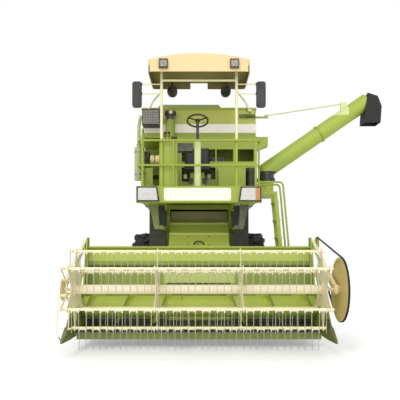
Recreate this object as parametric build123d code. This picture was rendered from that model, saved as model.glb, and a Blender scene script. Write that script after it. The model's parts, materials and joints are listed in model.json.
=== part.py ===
# Self-propelled combine harvester with a tined reel header, an open driver's platform under
# a canopy, a grain tank and a swinging unloading auger.
# Millimetres. +Z up, the front is at -Y and the machine's left side is at +X. While it is
# modelled, Y = 0 is the front axle, X = 0 the middle of the machine and Z = 0 the ground.
import os
from math import atan2, ceil, cos, degrees, hypot, radians, sin, sqrt

from build123d import *

os.makedirs("parts", exist_ok=True)

# Running and seating clearances
SEAT = 0.3
RUN = 5.0

# Wheels and axles
FRONT_TYRE_R = 870
FRONT_TYRE_W = 420
FRONT_RIM_R = 370
FRONT_WHEEL_X = 990
REAR_AXLE_Y = 3300
REAR_TYRE_R = 450
REAR_TYRE_W = 290
REAR_RIM_R = 215
REAR_WHEEL_X = 920
KINGPIN_X = 700
KINGPIN_R = 22
AXLE_BEAM = 190
FRONT_HUB_R = 110
REAR_HUB_R = 70
REAR_AXLE_RISE = 160
STEER_ARM = 200
REAR_BEAM = 150
FRONT_SIDES = 40
REAR_SIDES = 28
RIM_DISH = 0.12
HAND_HOLES = 8
LUG_PAIRS = 14
LUG_SWEEP = 13
LUG_DEPTH = 40
LUG_W = 46
LUG_PHASE = 0.16
REAR_TREAD = 12
RIB_SHARE = 0.2

# Main frame and towing plate
FRAME_X = (430, 510)
FRAME_Y = (-180, 3500)
FRAME_LOW_Z = 980
DRAWBAR_HALF = 60
DRAWBAR_Y = 3730
DRAWBAR_Z = (700, 730)
DRAWBAR_PIN_R = 16

# Threshing body and straw hood
BODY_HALF = 620
BODY_WALL = 8
SHEET = 6
BODY_FRONT_Y = -300
BODY_REAR_Y = 3150
BODY_FLOOR_Z = 1130
BODY_ROOF_Z = 2240
HOOD_REAR_Y = 4350
HOOD_TAIL_Z = 1500
BODY_NOSE_Z = 1400
BODY_KINK_Y = 200
RIB_R = 16
DOOR_T = 8
DOOR_CORNER = 60
# y low, y high, z low, z high
LEFT_DOORS = ((600, 1250, 1330, 1700), (1950, 2450, 1330, 2050))
RIGHT_DOORS = ((1250, 2050, 1880, 2090), (2300, 2680, 1330, 2050))
PULLEY_W = 60
# side, then each pulley's y, z and radius
BELT_DRIVES = (
    (1, (350, 1780, 250), (1450, 1900, 120)),
    (1, (1750, 1500, 110), (2650, 1650, 190)),
    (-1, (60, 1560, 150), (380, 1950, 110)),
    (-1, (2150, 1500, 100), (2850, 1700, 180)),
)

# Straw walkers and cleaning shoe
WALKER_COUNT = 5
WALKER_GAP = 12
WALKER_Y = (1400, 3980)
WALKER_STEP = 430
WALKER_Z = 1560
WALKER_RISE = 26
WALKER_DEPTH = 90
# y, z of the crank shafts
WALKER_SHAFTS = ((1750, 1515), (2850, 1580))
SHOE_HALF = 425
SHOE_Y = (900, 3080)
SHOE_LOW_Z = 860
SIEVE_Z = 985
FAN_Y = 820
FAN_Z = 960
FAN_R = 165

# Grain tank
TANK_HALF = 1010
TANK_WALL = 6
TANK_FRONT_Y = -560
TANK_REAR_Y = 960
TANK_TOP_Z = 3950
TANK_LIP_Z = 3390
TANK_THROAT_Y = -80
TANK_SLOPE_Z = 2800
TANK_RIB_Y = (120, 440, 760)
TANK_RIB_Z = (2650, 3900)

# Engine bay's windows: x low, x high, z low, z high
BAY_WINDOWS = (
    (-300, -125, 2960, 3175), (110, 285, 2960, 3175), (305, 595, 2960, 3175), (645, 955, 2960, 3175),
    (-300, -125, 2610, 2860), (110, 285, 2650, 2860),
)
LOUVRES = 7

# Engine block
ENGINE_RIGHT_X = -500
ENGINE_LENGTH = 940
ENGINE_H = 800
ENGINE_FLOOR_Z = BODY_ROOF_Z + 22
ENGINE_Y = (-640, -200)
RADIATOR_Y = (-600, -290)
RADIATOR_H = 900
FAN_PULLEY_Y = -600
FAN_PULLEY_R = 78
EXHAUST_Y = -245
EXHAUST_GAP = 95

# Driver's platform
DECK_Z = 2400
DECK_T = 40
DECK_SHEET = 6
DECK_EDGE = 40
DECK_FRONT_Y = -1700
DECK_REAR_Y = -760
DECK_HALF = 980
FASCIA_BOTTOM_Z = 2155
FASCIA_T = 20
FASCIA_TOP = 20
LAMP_DEPTH = 45
LAMP_BEZEL = 18
STRUT_X = 570
HANGER_Y = -1340
HANGER_OVER_TYRE = 20
RAIL_TOP_Z = 3140
RAIL_MID_Z = 2750
RAIL_R = 17
HAND_POST_Z = 3480
POST_X = 590
POST_R = 22
CONSOLE_TOP_Z = 3129
WHEEL_Z = 3500
WHEEL_R = 165
SEAT_Z = 2740
SEAT_X = -30
CONSOLE_X = (-630, -340)
COLUMN_X = -22

# Ladder, fuel tank and grain elevator
LADDER_Y = (-1290, -950)
LADDER_FOOT_Z = 620
LADDER_STEPS = 6
FUEL_X = -1060
FUEL_Y = (1250, 2050)
FUEL_Z = (1300, 1800)
ELEVATOR_Y = (870, 1130)
ELEVATOR_LOW_Z = 1010
ELEVATOR_LEAN = 300

# Canopy
CANOPY_HALF = 785
CANOPY_FRONT_Y = -1880
CANOPY_REAR_Y = -980
CANOPY_SKIRT_Z = 4150
CANOPY_EDGE_Z = 4335
CANOPY_CROWN_Z = 4430
CANOPY_WALL = 12
CANOPY_DEPTH = 100
CANOPY_CORNER = 70
CANOPY_NOTCH = 145
UNDER_CANOPY_Z = CANOPY_SKIRT_Z - 60
SQUARE_LAMP_X = (475, 612)
ROUND_LAMP_X = 450
ROUND_LAMP_R = 85
STAY_TUBE_R = 16
MIRROR_X = 975
MIRROR_W = 150
MIRROR_H = 410

# Feeder house
FEEDER_HALF = 520
FEEDER_PIVOT_Y = 100
FEEDER_PIVOT_Z = 1730
FEEDER_SHAFT_R = 35
FEEDER_RIB_Y = (-1200, -950, -700, -500)

# Header trough, wide enough for the reel between its end plates
REEL_HALF = 1700
REEL_SIDE_GAP = 100
HEADER_HALF = REEL_HALF + REEL_SIDE_GAP
SIDE_T = 25
HEADER_REAR_Y = -1450
HEADER_TOP_Z = 1480
HEADER_FLOOR_Z = 190
SKIRT_Z = 125
TROUGH_Z = 270
KNIFE_Y = -2300
KNIFE_Z = 262
GUARD_LENGTH = 85
GUARD_PITCH = 76.2
MOUTH_TOP_Z = 890
DIVIDER_TIP_Y = -3100
WALL_T = 8
RIB_T = 8
RIB_BAYS = 8

# Header auger
DRUM_Y = -1860
DRUM_Z = 560
DRUM_R = 160
DRUM_WALL = 6
FLIGHT_R = 270
FLIGHT_T = 8
FLIGHT_PITCH = 560
FLIGHT_INNER_X = 420

# Reel
REEL_Y = -2840
REEL_Z = 890
REEL_R = 514
REEL_TUBE_R = 64
REEL_TUBE_WALL = 6
STAR_VALLEY_R = 255
STAR_TIP_HALF = 22
EYE_T = 16
REEL_SHAFT_R = 24
BAT_COUNT = 6
BAT_LEAN = 5
BAT_R = 18
TINE_LENGTH = 300
TINE_T = 7
TINE_PAIRS = 18
TINE_GAP = 88
SPIDER_T = 6
SPIDER_X = 560
CRANK_ARM = 70
CRANK_PIN_R = 8
RING_R = 150
REEL_PULLEY_R = 430
REEL_PULLEY_W = 34
SMALL_PULLEY_R = 90
ARM_W = 50
ARM_GAP = 10
ARM_X = HEADER_HALF + ARM_GAP + ARM_W / 2
REEL_PULLEY_X = ARM_X + ARM_W / 2 + 40
ARM_PIVOT_Y = -1450
ARM_PIVOT_Z = 1530
ARM_PIVOT_R = 20

# Unloading auger
TURRET_X = TANK_HALF + 215
TURRET_Y = -300
TURRET_Z = 2700
UNLOADER_R = 145
TUBE_WALL = 5
UNLOADER_RISE = 34.6
UNLOADER_LENGTH = 2230
CLAMP_R = 165
CLAMP_H = 40
SPOUT_WALL = 8
STAY_Z = 3880

# Lift cylinders
LIFT_X = 330
LIFT_BASE_Y = -150
LIFT_BASE_Z = 690
LIFT_EYE_Y = -1120
LIFT_EYE_Z = 560
LIFT_BARREL_R = 42
LIFT_ROD_R = 24
REEL_CYL_BASE_Y = -1500
REEL_CYL_BASE_Z = 1000
REEL_CYL_EYE_ALONG = 560
REEL_CYL_BARREL_R = 24
REEL_CYL_ROD_R = 13
CYL_PIN_R = 14
LIFT_EYE_HALF = 26
REEL_EYE_HALF = 14
REEL_EYE_DROP = 90


def block(x, y, z):
    """A box from its low and high X, Y and Z."""
    middle = Pos((x[0] + x[1]) / 2, (y[0] + y[1]) / 2, (z[0] + z[1]) / 2)
    return middle * Box(x[1] - x[0], y[1] - y[0], z[1] - z[0])


def rod(start, end, radius):
    """A round bar between two points."""
    start, end = Vector(*start), Vector(*end)
    return Solid.make_cylinder(radius, (end - start).length, Plane(origin=start, z_dir=end - start))


def bar(start, end, width, depth):
    """A rectangular bar between two points, its width across X or, for a bar along X, across Y."""
    start, end = Vector(*start), Vector(*end)
    along = (end - start).normalized()
    across = Vector(0, 1, 0) if abs(along.X) > 0.9 else Vector(1, 0, 0)
    across = (across - along * across.dot(along)).normalized()
    section = Plane(origin=start, x_dir=across, z_dir=along) * Rectangle(width, depth)
    return extrude(section, (end - start).length)


def pipe(points, radius, bend):
    """A round tube along straight runs, bent at each corner."""
    points = [Vector(*point) for point in points]
    pieces = []
    start = points[0]
    for before, corner, after in zip(points, points[1:], points[2:]):
        inward, onward = (corner - before).normalized(), (after - corner).normalized()
        turn = inward.get_angle(onward)
        cut = bend * sin(radians(turn) / 2) / cos(radians(turn) / 2)
        toward = (onward - inward * inward.dot(onward)).normalized()
        bend_start = corner - inward * cut
        axis = Axis(bend_start + toward * bend, inward.cross(toward))
        section = Plane(origin=bend_start, z_dir=inward) * Circle(radius)
        pieces += [rod(start, bend_start, radius), revolve(section, axis, turn)]
        start = corner + onward * cut
    return joined(*pieces, rod(start, points[-1], radius))


def side_shape(outline, x_low, x_high):
    """A side outline of (y, z) points, thick from one X to the other."""
    face = Plane.YZ.offset(x_low) * make_face(Polyline(*outline, close=True))
    return extrude(face, x_high - x_low)


def disc(x_low, x_high, y, z, radius, bore=0):
    """A round disc or tube about a line along X."""
    solid = rod((x_low, y, z), (x_high, y, z), radius)
    if bore:
        solid = solid - rod((x_low - 1, y, z), (x_high + 1, y, z), bore)
    return solid


def turned(profile, y, z):
    """A profile of (x, radius) points turned about a line along X."""
    face = make_face(Polyline(*[(x, r, 0) for x, r in profile], close=True))
    return Pos(0, y, z) * revolve(face, Axis.X)


def joined(*shapes):
    """One solid made of pieces that run into each other."""
    return shapes[0].fuse(*shapes[1:])


def loose(*shapes):
    """Several solids that share a node."""
    return Compound([solid for shape in shapes for solid in shape.solids()])


def both_sides(shape):
    """A shape and its mirror image across the middle of the machine."""
    return [shape, mirror(shape, about=Plane.YZ)]


# Places worked out from the sizes above
FRONT_AXLE_Z = FRONT_TYRE_R
REAR_AXLE_Z = REAR_TYRE_R
ARM_FALL = atan2(ARM_PIVOT_Z - REEL_Z, ARM_PIVOT_Y - REEL_Y)
BAT_ANGLES = [radians(90 - BAT_LEAN + 360 / BAT_COUNT * k) for k in range(BAT_COUNT)]
BAT_PLACES = [(REEL_Y + REEL_R * cos(a), REEL_Z + REEL_R * sin(a)) for a in BAT_ANGLES]
RING_Y = REEL_Y - CRANK_ARM
RISE = radians(UNLOADER_RISE)


def ring(x, y, z, radius, sides):
    """A regular outline about a line along X, for a wheel's section."""
    return Plane(origin=(x, y, z), x_dir=(0, 1, 0), z_dir=(1, 0, 0)) * RegularPolygon(radius, sides)


def tyre(radius, width, rim_radius, tread, sides):
    """A tyre standing at X = 0: a bulged carcass below its tread, and a bead on the rim."""
    crown = radius - tread
    wall = crown - rim_radius
    sections = [
        # share of the width from the middle, radius
        (-0.42, rim_radius + 0.06 * wall), (-0.5, rim_radius + 0.4 * wall), (-0.49, crown - 0.28 * wall),
        (-0.38, crown), (0.38, crown), (0.49, crown - 0.28 * wall), (0.5, rim_radius + 0.4 * wall),
        (0.42, rim_radius + 0.06 * wall),
    ]
    carcass = loft([ring(share * width, 0, radius, r, sides) for share, r in sections], ruled=True)
    return carcass - disc(-width, width, 0, radius, rim_radius)


def lugs(radius, width):
    """A drive tyre's chevron lugs: from the middle of the tread out over each shoulder."""
    turn = radius * radians(LUG_SWEEP)
    reach = width / 2 - LUG_W / 3
    length = hypot(reach, turn)
    lean = degrees(atan2(turn, reach))
    top = radius * cos(radians(LUG_SWEEP) / 2) - 2
    outline = [
        (0, top - LUG_DEPTH - 20), (0, top), (0.8 * length, top), (length, top - LUG_DEPTH),
        (length, top - 3 * LUG_DEPTH),
    ]
    face = Plane.XZ.offset(-LUG_W / 2) * make_face(Polyline(*outline, close=True))
    lug = extrude(face, LUG_W)
    pieces = []
    for heading, start in ((lean, LUG_PHASE), (180 - lean, LUG_PHASE + 0.5)):
        placed = Pos(0, -turn / 2, 0) * Rot(0, 0, heading) * lug
        for k in range(LUG_PAIRS):
            pieces.append(Pos(0, 0, radius) * Rot(360 / LUG_PAIRS * (k + start), 0, 0) * placed)
    return pieces


def tread_ribs(radius, width):
    """A steered tyre's ribs round its tread."""
    ribs = []
    for share in (-0.2, 0.2):
        face = ring((share - RIB_SHARE / 2) * width, 0, radius, radius, REAR_SIDES)
        rib = extrude(face, RIB_SHARE * width)
        ribs.append(rib - disc(-width, width, 0, radius, radius - 3 * REAR_TREAD))
    return ribs


def rim(radius, rim_radius, width, hub_radius, side):
    """A dished steel rim at X = 0: a flanged barrel, a cone with hand holes, and a hub."""
    outer = rim_radius - SEAT
    half = 0.42 * width
    wall = 10
    lip = wall + 14
    barrel = turned([
        (-half, outer), (half, outer), (half, outer - lip), (half - 20, outer - wall),
        (-half + 20, outer - wall), (-half, outer - lip),
    ], 0, radius)
    dish = -side * RIM_DISH * width
    hub_half = 45
    face = dish + side * hub_half
    cone = turned([
        (dish, outer - wall + 2), (dish + 14, outer - wall + 2), (face + 14, outer * 0.55),
        (face + 14, 20), (face, 20), (face, outer * 0.55),
    ], 0, radius)
    for k in range(HAND_HOLES):
        angle = radians(360 / HAND_HOLES * k)
        y, z = 0.76 * outer * cos(angle), radius + 0.76 * outer * sin(angle)
        cone = cone - disc(-width, width, y, z, 0.075 * outer)
    return joined(barrel, cone, disc(face - hub_half, face + hub_half, 0, radius, hub_radius))


def front_axle():
    """The axle beam with a final drive housing at each end and the gearbox in its middle."""
    half = AXLE_BEAM / 2
    beam_end = FRONT_WHEEL_X - FRONT_TYRE_W / 2 - 60
    beam = block((-beam_end, beam_end), (-half, half), (FRONT_AXLE_Z - half, FRONT_AXLE_Z + half))
    drives = both_sides(disc(beam_end - 130, beam_end, 0, FRONT_AXLE_Z, 210))
    stub = disc(beam_end - 20, FRONT_WHEEL_X - RIM_DISH * FRONT_TYRE_W - SEAT, 0, FRONT_AXLE_Z, 60)
    gearbox = block((-190, 190), (-230, 230), (FRONT_AXLE_Z - 190, FRONT_AXLE_Z + 170))
    ears = []
    for x in (-LIFT_X, LIFT_X):
        for low in (x - LIFT_EYE_HALF - 13, x + LIFT_EYE_HALF + 1):
            outline = [
                (LIFT_BASE_Y - 30, LIFT_BASE_Z - 30), (LIFT_BASE_Y + 30, LIFT_BASE_Z - 30),
                (half, FRONT_AXLE_Z - half + 5), (-half, FRONT_AXLE_Z), (LIFT_BASE_Y - 30, LIFT_BASE_Z + 30),
            ]
            ears.append(side_shape(outline, low, low + 12))
        pin_end = LIFT_EYE_HALF + 20
        ears.append(disc(x - pin_end, x + pin_end, LIFT_BASE_Y, LIFT_BASE_Z, CYL_PIN_R))
    return joined(beam, *drives, *both_sides(stub), gearbox, *ears)


def main_frame():
    """Two long beams with cross tubes between them, and stands down to the front axle."""
    beams = both_sides(block(FRAME_X, FRAME_Y, (FRAME_LOW_Z, BODY_FLOOR_Z - SEAT)))
    reach = FRAME_X[0] + 10
    low = FRAME_LOW_Z + 20
    cross = [block((-reach, reach), (y - 40, y + 40), (low, low + 100)) for y in (500, REAR_AXLE_Y)]
    top = FRONT_AXLE_Z + AXLE_BEAM / 2
    stands = both_sides(block((FRAME_X[0] - 10, FRAME_X[1] + 10), (-90, 90), (top, low)))
    axle_top = REAR_AXLE_Z + REAR_AXLE_RISE + REAR_BEAM / 2 + SEAT
    pivot = block((-90, 90), (REAR_AXLE_Y - 90, REAR_AXLE_Y + 90), (axle_top, low + 10))
    return joined(*beams, *cross, *stands, pivot)


def rear_axle():
    """The steered rear axle's beam, with a forked end for each kingpin."""
    half = REAR_BEAM / 2
    z = REAR_AXLE_Z + REAR_AXLE_RISE
    y = (REAR_AXLE_Y - half, REAR_AXLE_Y + half)
    beam = block((-KINGPIN_X + 70, KINGPIN_X - 70), y, (z - half, z + half))
    forks = []
    for low, high in ((z - half, z - half + 25), (z + half - 25, z + half)):
        forks.append(block((KINGPIN_X - 75, KINGPIN_X), y, (low, high)))
        forks.append(rod((KINGPIN_X, REAR_AXLE_Y, low), (KINGPIN_X, REAR_AXLE_Y, high), 45))
    body = joined(beam, *both_sides(joined(*forks)))
    for side in (-1, 1):
        x = side * KINGPIN_X
        body = body - rod((x, REAR_AXLE_Y, z - 100), (x, REAR_AXLE_Y, z + 100), KINGPIN_R + 0.05)
    return body


def knuckle(side):
    """A rear knuckle: its kingpin, the stub axle and the arm for the tie rod."""
    z = REAR_AXLE_Z + REAR_AXLE_RISE
    half = REAR_BEAM / 2
    x = side * KINGPIN_X
    pin = rod((x, REAR_AXLE_Y, z - half - 20), (x, REAR_AXLE_Y, z + half + 15), KINGPIN_R)
    boss = rod((x, REAR_AXLE_Y, z - half + 25 + 1), (x, REAR_AXLE_Y, z + half - 25 - 1), 40)
    drop = block(
        sorted((x - side * 30, x + side * 30)), (REAR_AXLE_Y - 45, REAR_AXLE_Y + 45),
        (REAR_AXLE_Z - 60, z - half - 2),
    )
    hub_face = REAR_WHEEL_X - RIM_DISH * REAR_TYRE_W - SEAT
    stub = rod((x, REAR_AXLE_Y, REAR_AXLE_Z), (side * hub_face, REAR_AXLE_Y, REAR_AXLE_Z), 35)
    arm_y = REAR_AXLE_Y - STEER_ARM
    arm = block(sorted((x - side * 25, x + side * 25)), (arm_y - 30, REAR_AXLE_Y), (480, 505))
    return joined(pin, boss, drop, stub, arm)


def tie_rod():
    """The rod that joins the two knuckle arms, just under them."""
    y = REAR_AXLE_Y - STEER_ARM
    end = KINGPIN_X
    ends = both_sides(rod((end, y, 455), (end, y, 480 - SEAT), 26))
    return joined(rod((-end, y, 464), (end, y, 464), 14), *ends)


def body_ribs():
    """Half-round ribs pressed along both side sheets of the body, outside only."""
    ribs = []
    for z in (BODY_FLOOR_Z + 90, BODY_ROOF_Z - 70):
        for side in (-1, 1):
            x = side * BODY_HALF
            rib = rod((x, BODY_FRONT_Y + 60, z), (x, BODY_REAR_Y - 40, z), RIB_R)
            inside = BODY_HALF - BODY_WALL
            ribs.append(rib - block((-inside, inside), (BODY_FRONT_Y, BODY_REAR_Y), (z - 50, z + 50)))
    return ribs


def access_door(side, y_low, y_high, z_low, z_high):
    """A sheet door with rounded corners standing a little proud of the body's side."""
    door = fillet(Rectangle(y_high - y_low, z_high - z_low).vertices(), DOOR_CORNER)
    middle = (side * (BODY_HALF - 2), (y_low + y_high) / 2, (z_low + z_high) / 2)
    return extrude(Plane(origin=middle, x_dir=(0, 1, 0), z_dir=(side, 0, 0)) * door, 2 + DOOR_T)


def separator_body():
    """The threshing body: ribbed sheet sides with doors, roof, sloped floor and front, open behind."""
    outline = [
        (BODY_FRONT_Y, BODY_NOSE_Z), (BODY_FRONT_Y, BODY_ROOF_Z), (BODY_REAR_Y, BODY_ROOF_Z),
        (BODY_REAR_Y, BODY_FLOOR_Z), (BODY_KINK_Y, BODY_FLOOR_Z),
    ]
    inner = [
        (BODY_FRONT_Y + 20, BODY_NOSE_Z + 20), (BODY_FRONT_Y + 20, BODY_ROOF_Z - BODY_WALL),
        (BODY_REAR_Y + 10, BODY_ROOF_Z - BODY_WALL), (BODY_REAR_Y + 10, BODY_FLOOR_Z + BODY_WALL),
        (BODY_KINK_Y + 10, BODY_FLOOR_Z + BODY_WALL),
    ]
    shell = side_shape(outline, -BODY_HALF, BODY_HALF)
    shell = shell - side_shape(inner, -BODY_HALF + BODY_WALL, BODY_HALF - BODY_WALL)
    mouth = FEEDER_HALF + 2 * RUN
    mouth_y = (BODY_FRONT_Y - 10, FEEDER_PIVOT_Y + 260)
    shell = shell - block((-mouth, mouth), mouth_y, (BODY_FLOOR_Z + 20, BODY_ROOF_Z - 80))
    doors = [access_door(1, *door) for door in LEFT_DOORS] + [access_door(-1, *door) for door in RIGHT_DOORS]
    return joined(shell, *body_ribs(), *doors)


def hood_face(inset, open_below):
    """The straw hood's side outline, rounded over its rear."""
    start = BODY_REAR_Y + SEAT - (10 if open_below else 0)
    top = BODY_ROOF_Z - inset
    rear = HOOD_REAR_Y - inset
    shoulder = (HOOD_REAR_Y - 560, top - 30)
    curve_end = (rear, HOOD_TAIL_Z + 260)
    middle = (HOOD_REAR_Y - 150 - 0.8 * inset, BODY_ROOF_Z - 210 - 0.8 * inset)
    roof = Polyline((start, top), shoulder)
    bow = ThreePointArc(shoulder, middle, curve_end)
    if open_below:
        low = Polyline(curve_end, (rear, HOOD_TAIL_Z - 500), (start, HOOD_TAIL_Z - 500), (start, top))
    else:
        tail = HOOD_TAIL_Z - 130
        low = Polyline(curve_end, (rear, tail), (3900, 1250), (start, BODY_FLOOR_Z + 120), (start, top))
    return make_face(roof + bow + low)


def straw_hood():
    """The hood behind the straw walkers: open in front and below, bowed over its rear."""
    wall = BODY_WALL
    shell = extrude(Plane.YZ.offset(-BODY_HALF) * hood_face(0, False), 2 * BODY_HALF)
    inside = BODY_HALF - wall
    hollow = extrude(Plane.YZ.offset(-inside) * hood_face(wall, True), 2 * inside)
    ribs = []
    for y in (BODY_REAR_Y + 330, BODY_REAR_Y + 660):
        for side in (-1, 1):
            ribs.append(rod((side * BODY_HALF, y, 1320), (side * BODY_HALF, y, BODY_ROOF_Z - 160), RIB_R))
    return joined(shell - hollow, *[rib - hollow for rib in ribs])


def straw_walkers():
    """Saw-tooth straw walkers side by side on two crank shafts, seen from behind."""
    width = (2 * BODY_HALF - 2 * BODY_WALL - WALKER_GAP) / WALKER_COUNT - WALKER_GAP
    start = WALKER_Y[0]
    teeth = int((WALKER_Y[1] - start) / WALKER_STEP)
    end = start + teeth * WALKER_STEP
    walkers = []
    for k in range(WALKER_COUNT):
        left = -BODY_HALF + BODY_WALL + WALKER_GAP + k * (width + WALKER_GAP)
        base = WALKER_Z + 30 * (k % 2)
        top = []
        for n in range(teeth):
            y = start + n * WALKER_STEP
            z = base + WALKER_RISE * n
            top += [(y, z), (y + WALKER_STEP - 20, z + 90)]
        low_front, low_rear = base - WALKER_DEPTH, base - 50 + WALKER_RISE * teeth
        outline = top + [(end, low_rear), (start, low_front)]
        under = [(y + (SHEET if n == 0 else 0), z - SHEET) for n, (y, z) in enumerate(top)]
        under += [(end - 20 - SHEET, low_rear - 50), (start + SHEET, low_front - 50)]
        walker = side_shape(outline, left, left + width)
        walkers.append(walker - side_shape(under, left + SHEET, left + width - SHEET))
    inside = BODY_HALF - BODY_WALL
    shafts = [rod((-inside, y, z), (inside, y, z), 22) for y, z in WALKER_SHAFTS]
    return joined(*walkers, *shafts)


def sieve_shoe():
    """The cleaning shoe hung under the body, open at the rear, with its fan drum ahead."""
    half, inside = SHOE_HALF, SHOE_HALF - SHEET - 2
    outer = block((-half, half), SHOE_Y, (SHOE_LOW_Z, BODY_FLOOR_Z - SEAT))
    inner = block((-inside, inside), (SHOE_Y[0] + 8, SHOE_Y[1] + 10), (SHOE_LOW_Z + 8, BODY_FLOOR_Z - 30))
    fan = disc(-half, half, FAN_Y, FAN_Z, FAN_R) - disc(-inside, inside, FAN_Y, FAN_Z, FAN_R - 8)
    sieve = block((-half, half), (SHOE_Y[0] + 450, SHOE_Y[1] - 20), (SIEVE_Z, SIEVE_Z + 20))
    return joined(outer - inner, fan, sieve)


def grain_tank():
    """The grain tank: an open-topped bin whose floor steps back over the engine."""
    wall = TANK_WALL
    outline = [
        (TANK_FRONT_Y, TANK_LIP_Z), (TANK_FRONT_Y, TANK_TOP_Z), (TANK_REAR_Y, TANK_TOP_Z),
        (TANK_REAR_Y, BODY_ROOF_Z + SEAT), (TANK_THROAT_Y, BODY_ROOF_Z + SEAT),
        (TANK_THROAT_Y, TANK_LIP_Z - 90),
    ]
    inner = [
        (TANK_FRONT_Y + wall, TANK_LIP_Z + wall), (TANK_FRONT_Y + wall, TANK_TOP_Z + 10),
        (TANK_REAR_Y - wall, TANK_TOP_Z + 10), (TANK_REAR_Y - wall, TANK_SLOPE_Z),
        (500, BODY_ROOF_Z + wall), (100, BODY_ROOF_Z + wall),
        (TANK_THROAT_Y + wall, TANK_LIP_Z - 500), (TANK_THROAT_Y + wall, TANK_LIP_Z - 85),
    ]
    rear_pocket = [
        (TANK_REAR_Y - wall, TANK_SLOPE_Z - 10), (TANK_REAR_Y - wall, BODY_ROOF_Z), (508, BODY_ROOF_Z),
    ]
    front_pocket = [
        (TANK_THROAT_Y + wall, TANK_LIP_Z - 525), (TANK_THROAT_Y + wall, BODY_ROOF_Z), (93, BODY_ROOF_Z),
    ]
    bin_shell = side_shape(outline, -TANK_HALF, TANK_HALF)
    for hollow in (inner, rear_pocket, front_pocket):
        bin_shell = bin_shell - side_shape(hollow, -TANK_HALF + wall, TANK_HALF - wall)
    ribs = []
    places = [(side * TANK_HALF, y) for side in (-1, 1) for y in TANK_RIB_Y]
    places += [(share * TANK_HALF, TANK_REAR_Y) for share in (-0.5, 0, 0.5)]
    low, high = TANK_RIB_Z
    for x, y in places:
        ribs.append(rod((x, y, low), (x, y, high), RIB_R))
    inside = block(
        (-TANK_HALF + wall, TANK_HALF - wall), (TANK_THROAT_Y + wall, TANK_REAR_Y - wall),
        (BODY_ROOF_Z, TANK_TOP_Z),
    )
    flap_x = (-TANK_HALF + 520, TANK_HALF - 350)
    flap = block(flap_x, (TANK_FRONT_Y - 5, TANK_FRONT_Y + 1), (TANK_TOP_Z - 285, TANK_TOP_Z))
    return joined(bin_shell, *[rib - inside for rib in ribs], flap)


def tank_cover():
    """The low raised cover over part of the tank's mouth."""
    low, high = -730, 390
    z = TANK_TOP_Z + SEAT
    outline = [(low, z), (low + 40, z + 55), (high - 40, z + 55), (high, z)]
    face = Plane.XZ.offset(-TANK_REAR_Y) * make_face(Polyline(*outline, close=True))
    return extrude(face, TANK_REAR_Y - TANK_FRONT_Y)


def engine_bay():
    """The sheet bay in front of the tank, with windows in its panel and a cover at its left end."""
    front = (DECK_REAR_Y, DECK_REAR_Y + 8)
    panel = block((-TANK_HALF + 370, TANK_HALF), front, (FASCIA_BOTTOM_Z + 80, TANK_LIP_Z))
    for x_low, x_high, z_low, z_high in BAY_WINDOWS:
        window = fillet(Rectangle(x_high - x_low, z_high - z_low).vertices(), 12)
        plane = Plane.XZ.offset(-front[1] - 5) * Pos((x_low + x_high) / 2, (z_low + z_high) / 2)
        panel = panel - extrude(plane * window, 20)
    throat = TANK_THROAT_Y - SEAT
    bottom = ENGINE_FLOOR_Z - 12
    side_outline = [
        (DECK_REAR_Y, bottom), (DECK_REAR_Y, TANK_LIP_Z), (TANK_FRONT_Y - SEAT, TANK_LIP_Z),
        (TANK_FRONT_Y - SEAT, TANK_LIP_Z - 2), (throat, TANK_LIP_Z - 92), (throat, bottom),
    ]
    side = side_shape(side_outline, TANK_HALF - 8, TANK_HALF)
    for k in range(LOUVRES):
        z = TURRET_Z + 60 * k
        side = side - block((TANK_HALF - 10, TANK_HALF + 5), (DECK_REAR_Y + 120, throat - 120), (z, z + 22))
    roof = block((-TANK_HALF, TANK_HALF), (DECK_REAR_Y, TANK_FRONT_Y - SEAT), (TANK_LIP_Z - 12, TANK_LIP_Z))
    floor = block((-TANK_HALF, TANK_HALF), (DECK_REAR_Y, throat), (bottom, ENGINE_FLOOR_Z))
    leg = block((-TANK_HALF, -TANK_HALF + 50), (DECK_REAR_Y, DECK_REAR_Y + 50), (bottom, TANK_LIP_Z))
    low_panel = block((-TANK_HALF, -TANK_HALF + 205), front, (FASCIA_BOTTOM_Z + 80, 2850))
    cover_outline = [
        (TANK_HALF - 1, TANK_LIP_Z - 225), (TANK_HALF + 190, TANK_LIP_Z - 155),
        (TANK_HALF + 190, TANK_LIP_Z), (TANK_HALF - 1, TANK_LIP_Z),
    ]
    cover_face = Plane.XZ.offset(-TANK_FRONT_Y + 10) * make_face(Polyline(*cover_outline, close=True))
    cover = extrude(cover_face, TANK_FRONT_Y - DECK_REAR_Y - 10)
    return joined(panel, side, roof, floor, leg, low_panel, cover)


def engine():
    """The engine as one block at its real size, set crosswise behind the driver."""
    x = (ENGINE_RIGHT_X, ENGINE_RIGHT_X + ENGINE_LENGTH)
    return block(x, ENGINE_Y, (ENGINE_FLOOR_Z + SEAT, ENGINE_FLOOR_Z + ENGINE_H))


def engine_radiator():
    """The radiator at the engine's fan end: a core in a deep frame, open to the machine's right."""
    x = (-TANK_HALF + 15, ENGINE_RIGHT_X - 385)
    y = RADIATOR_Y
    z = (ENGINE_FLOOR_Z + SEAT, ENGINE_FLOOR_Z + RADIATOR_H)
    wall = 12
    frame = block(x, y, z)
    core = (x[0] + x[1]) / 2
    for low, high in ((x[0] - 1, core - wall), (core + wall, x[1] + 1)):
        frame = frame - block((low, high), (y[0] + wall, y[1] - wall), (z[0] + wall, z[1] - wall))
    return frame


def engine_pulleys():
    """Two grooved pulleys on the engine's fan end."""
    y, z = FAN_PULLEY_Y, ENGINE_FLOOR_Z + 758
    pulleys = [disc(x, x + 70, y, z, FAN_PULLEY_R) for x in (ENGINE_RIGHT_X - 360, ENGINE_RIGHT_X - 270)]
    return joined(*pulleys, disc(ENGINE_RIGHT_X - 370, ENGINE_RIGHT_X - SEAT, y, z, 20))


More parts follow.
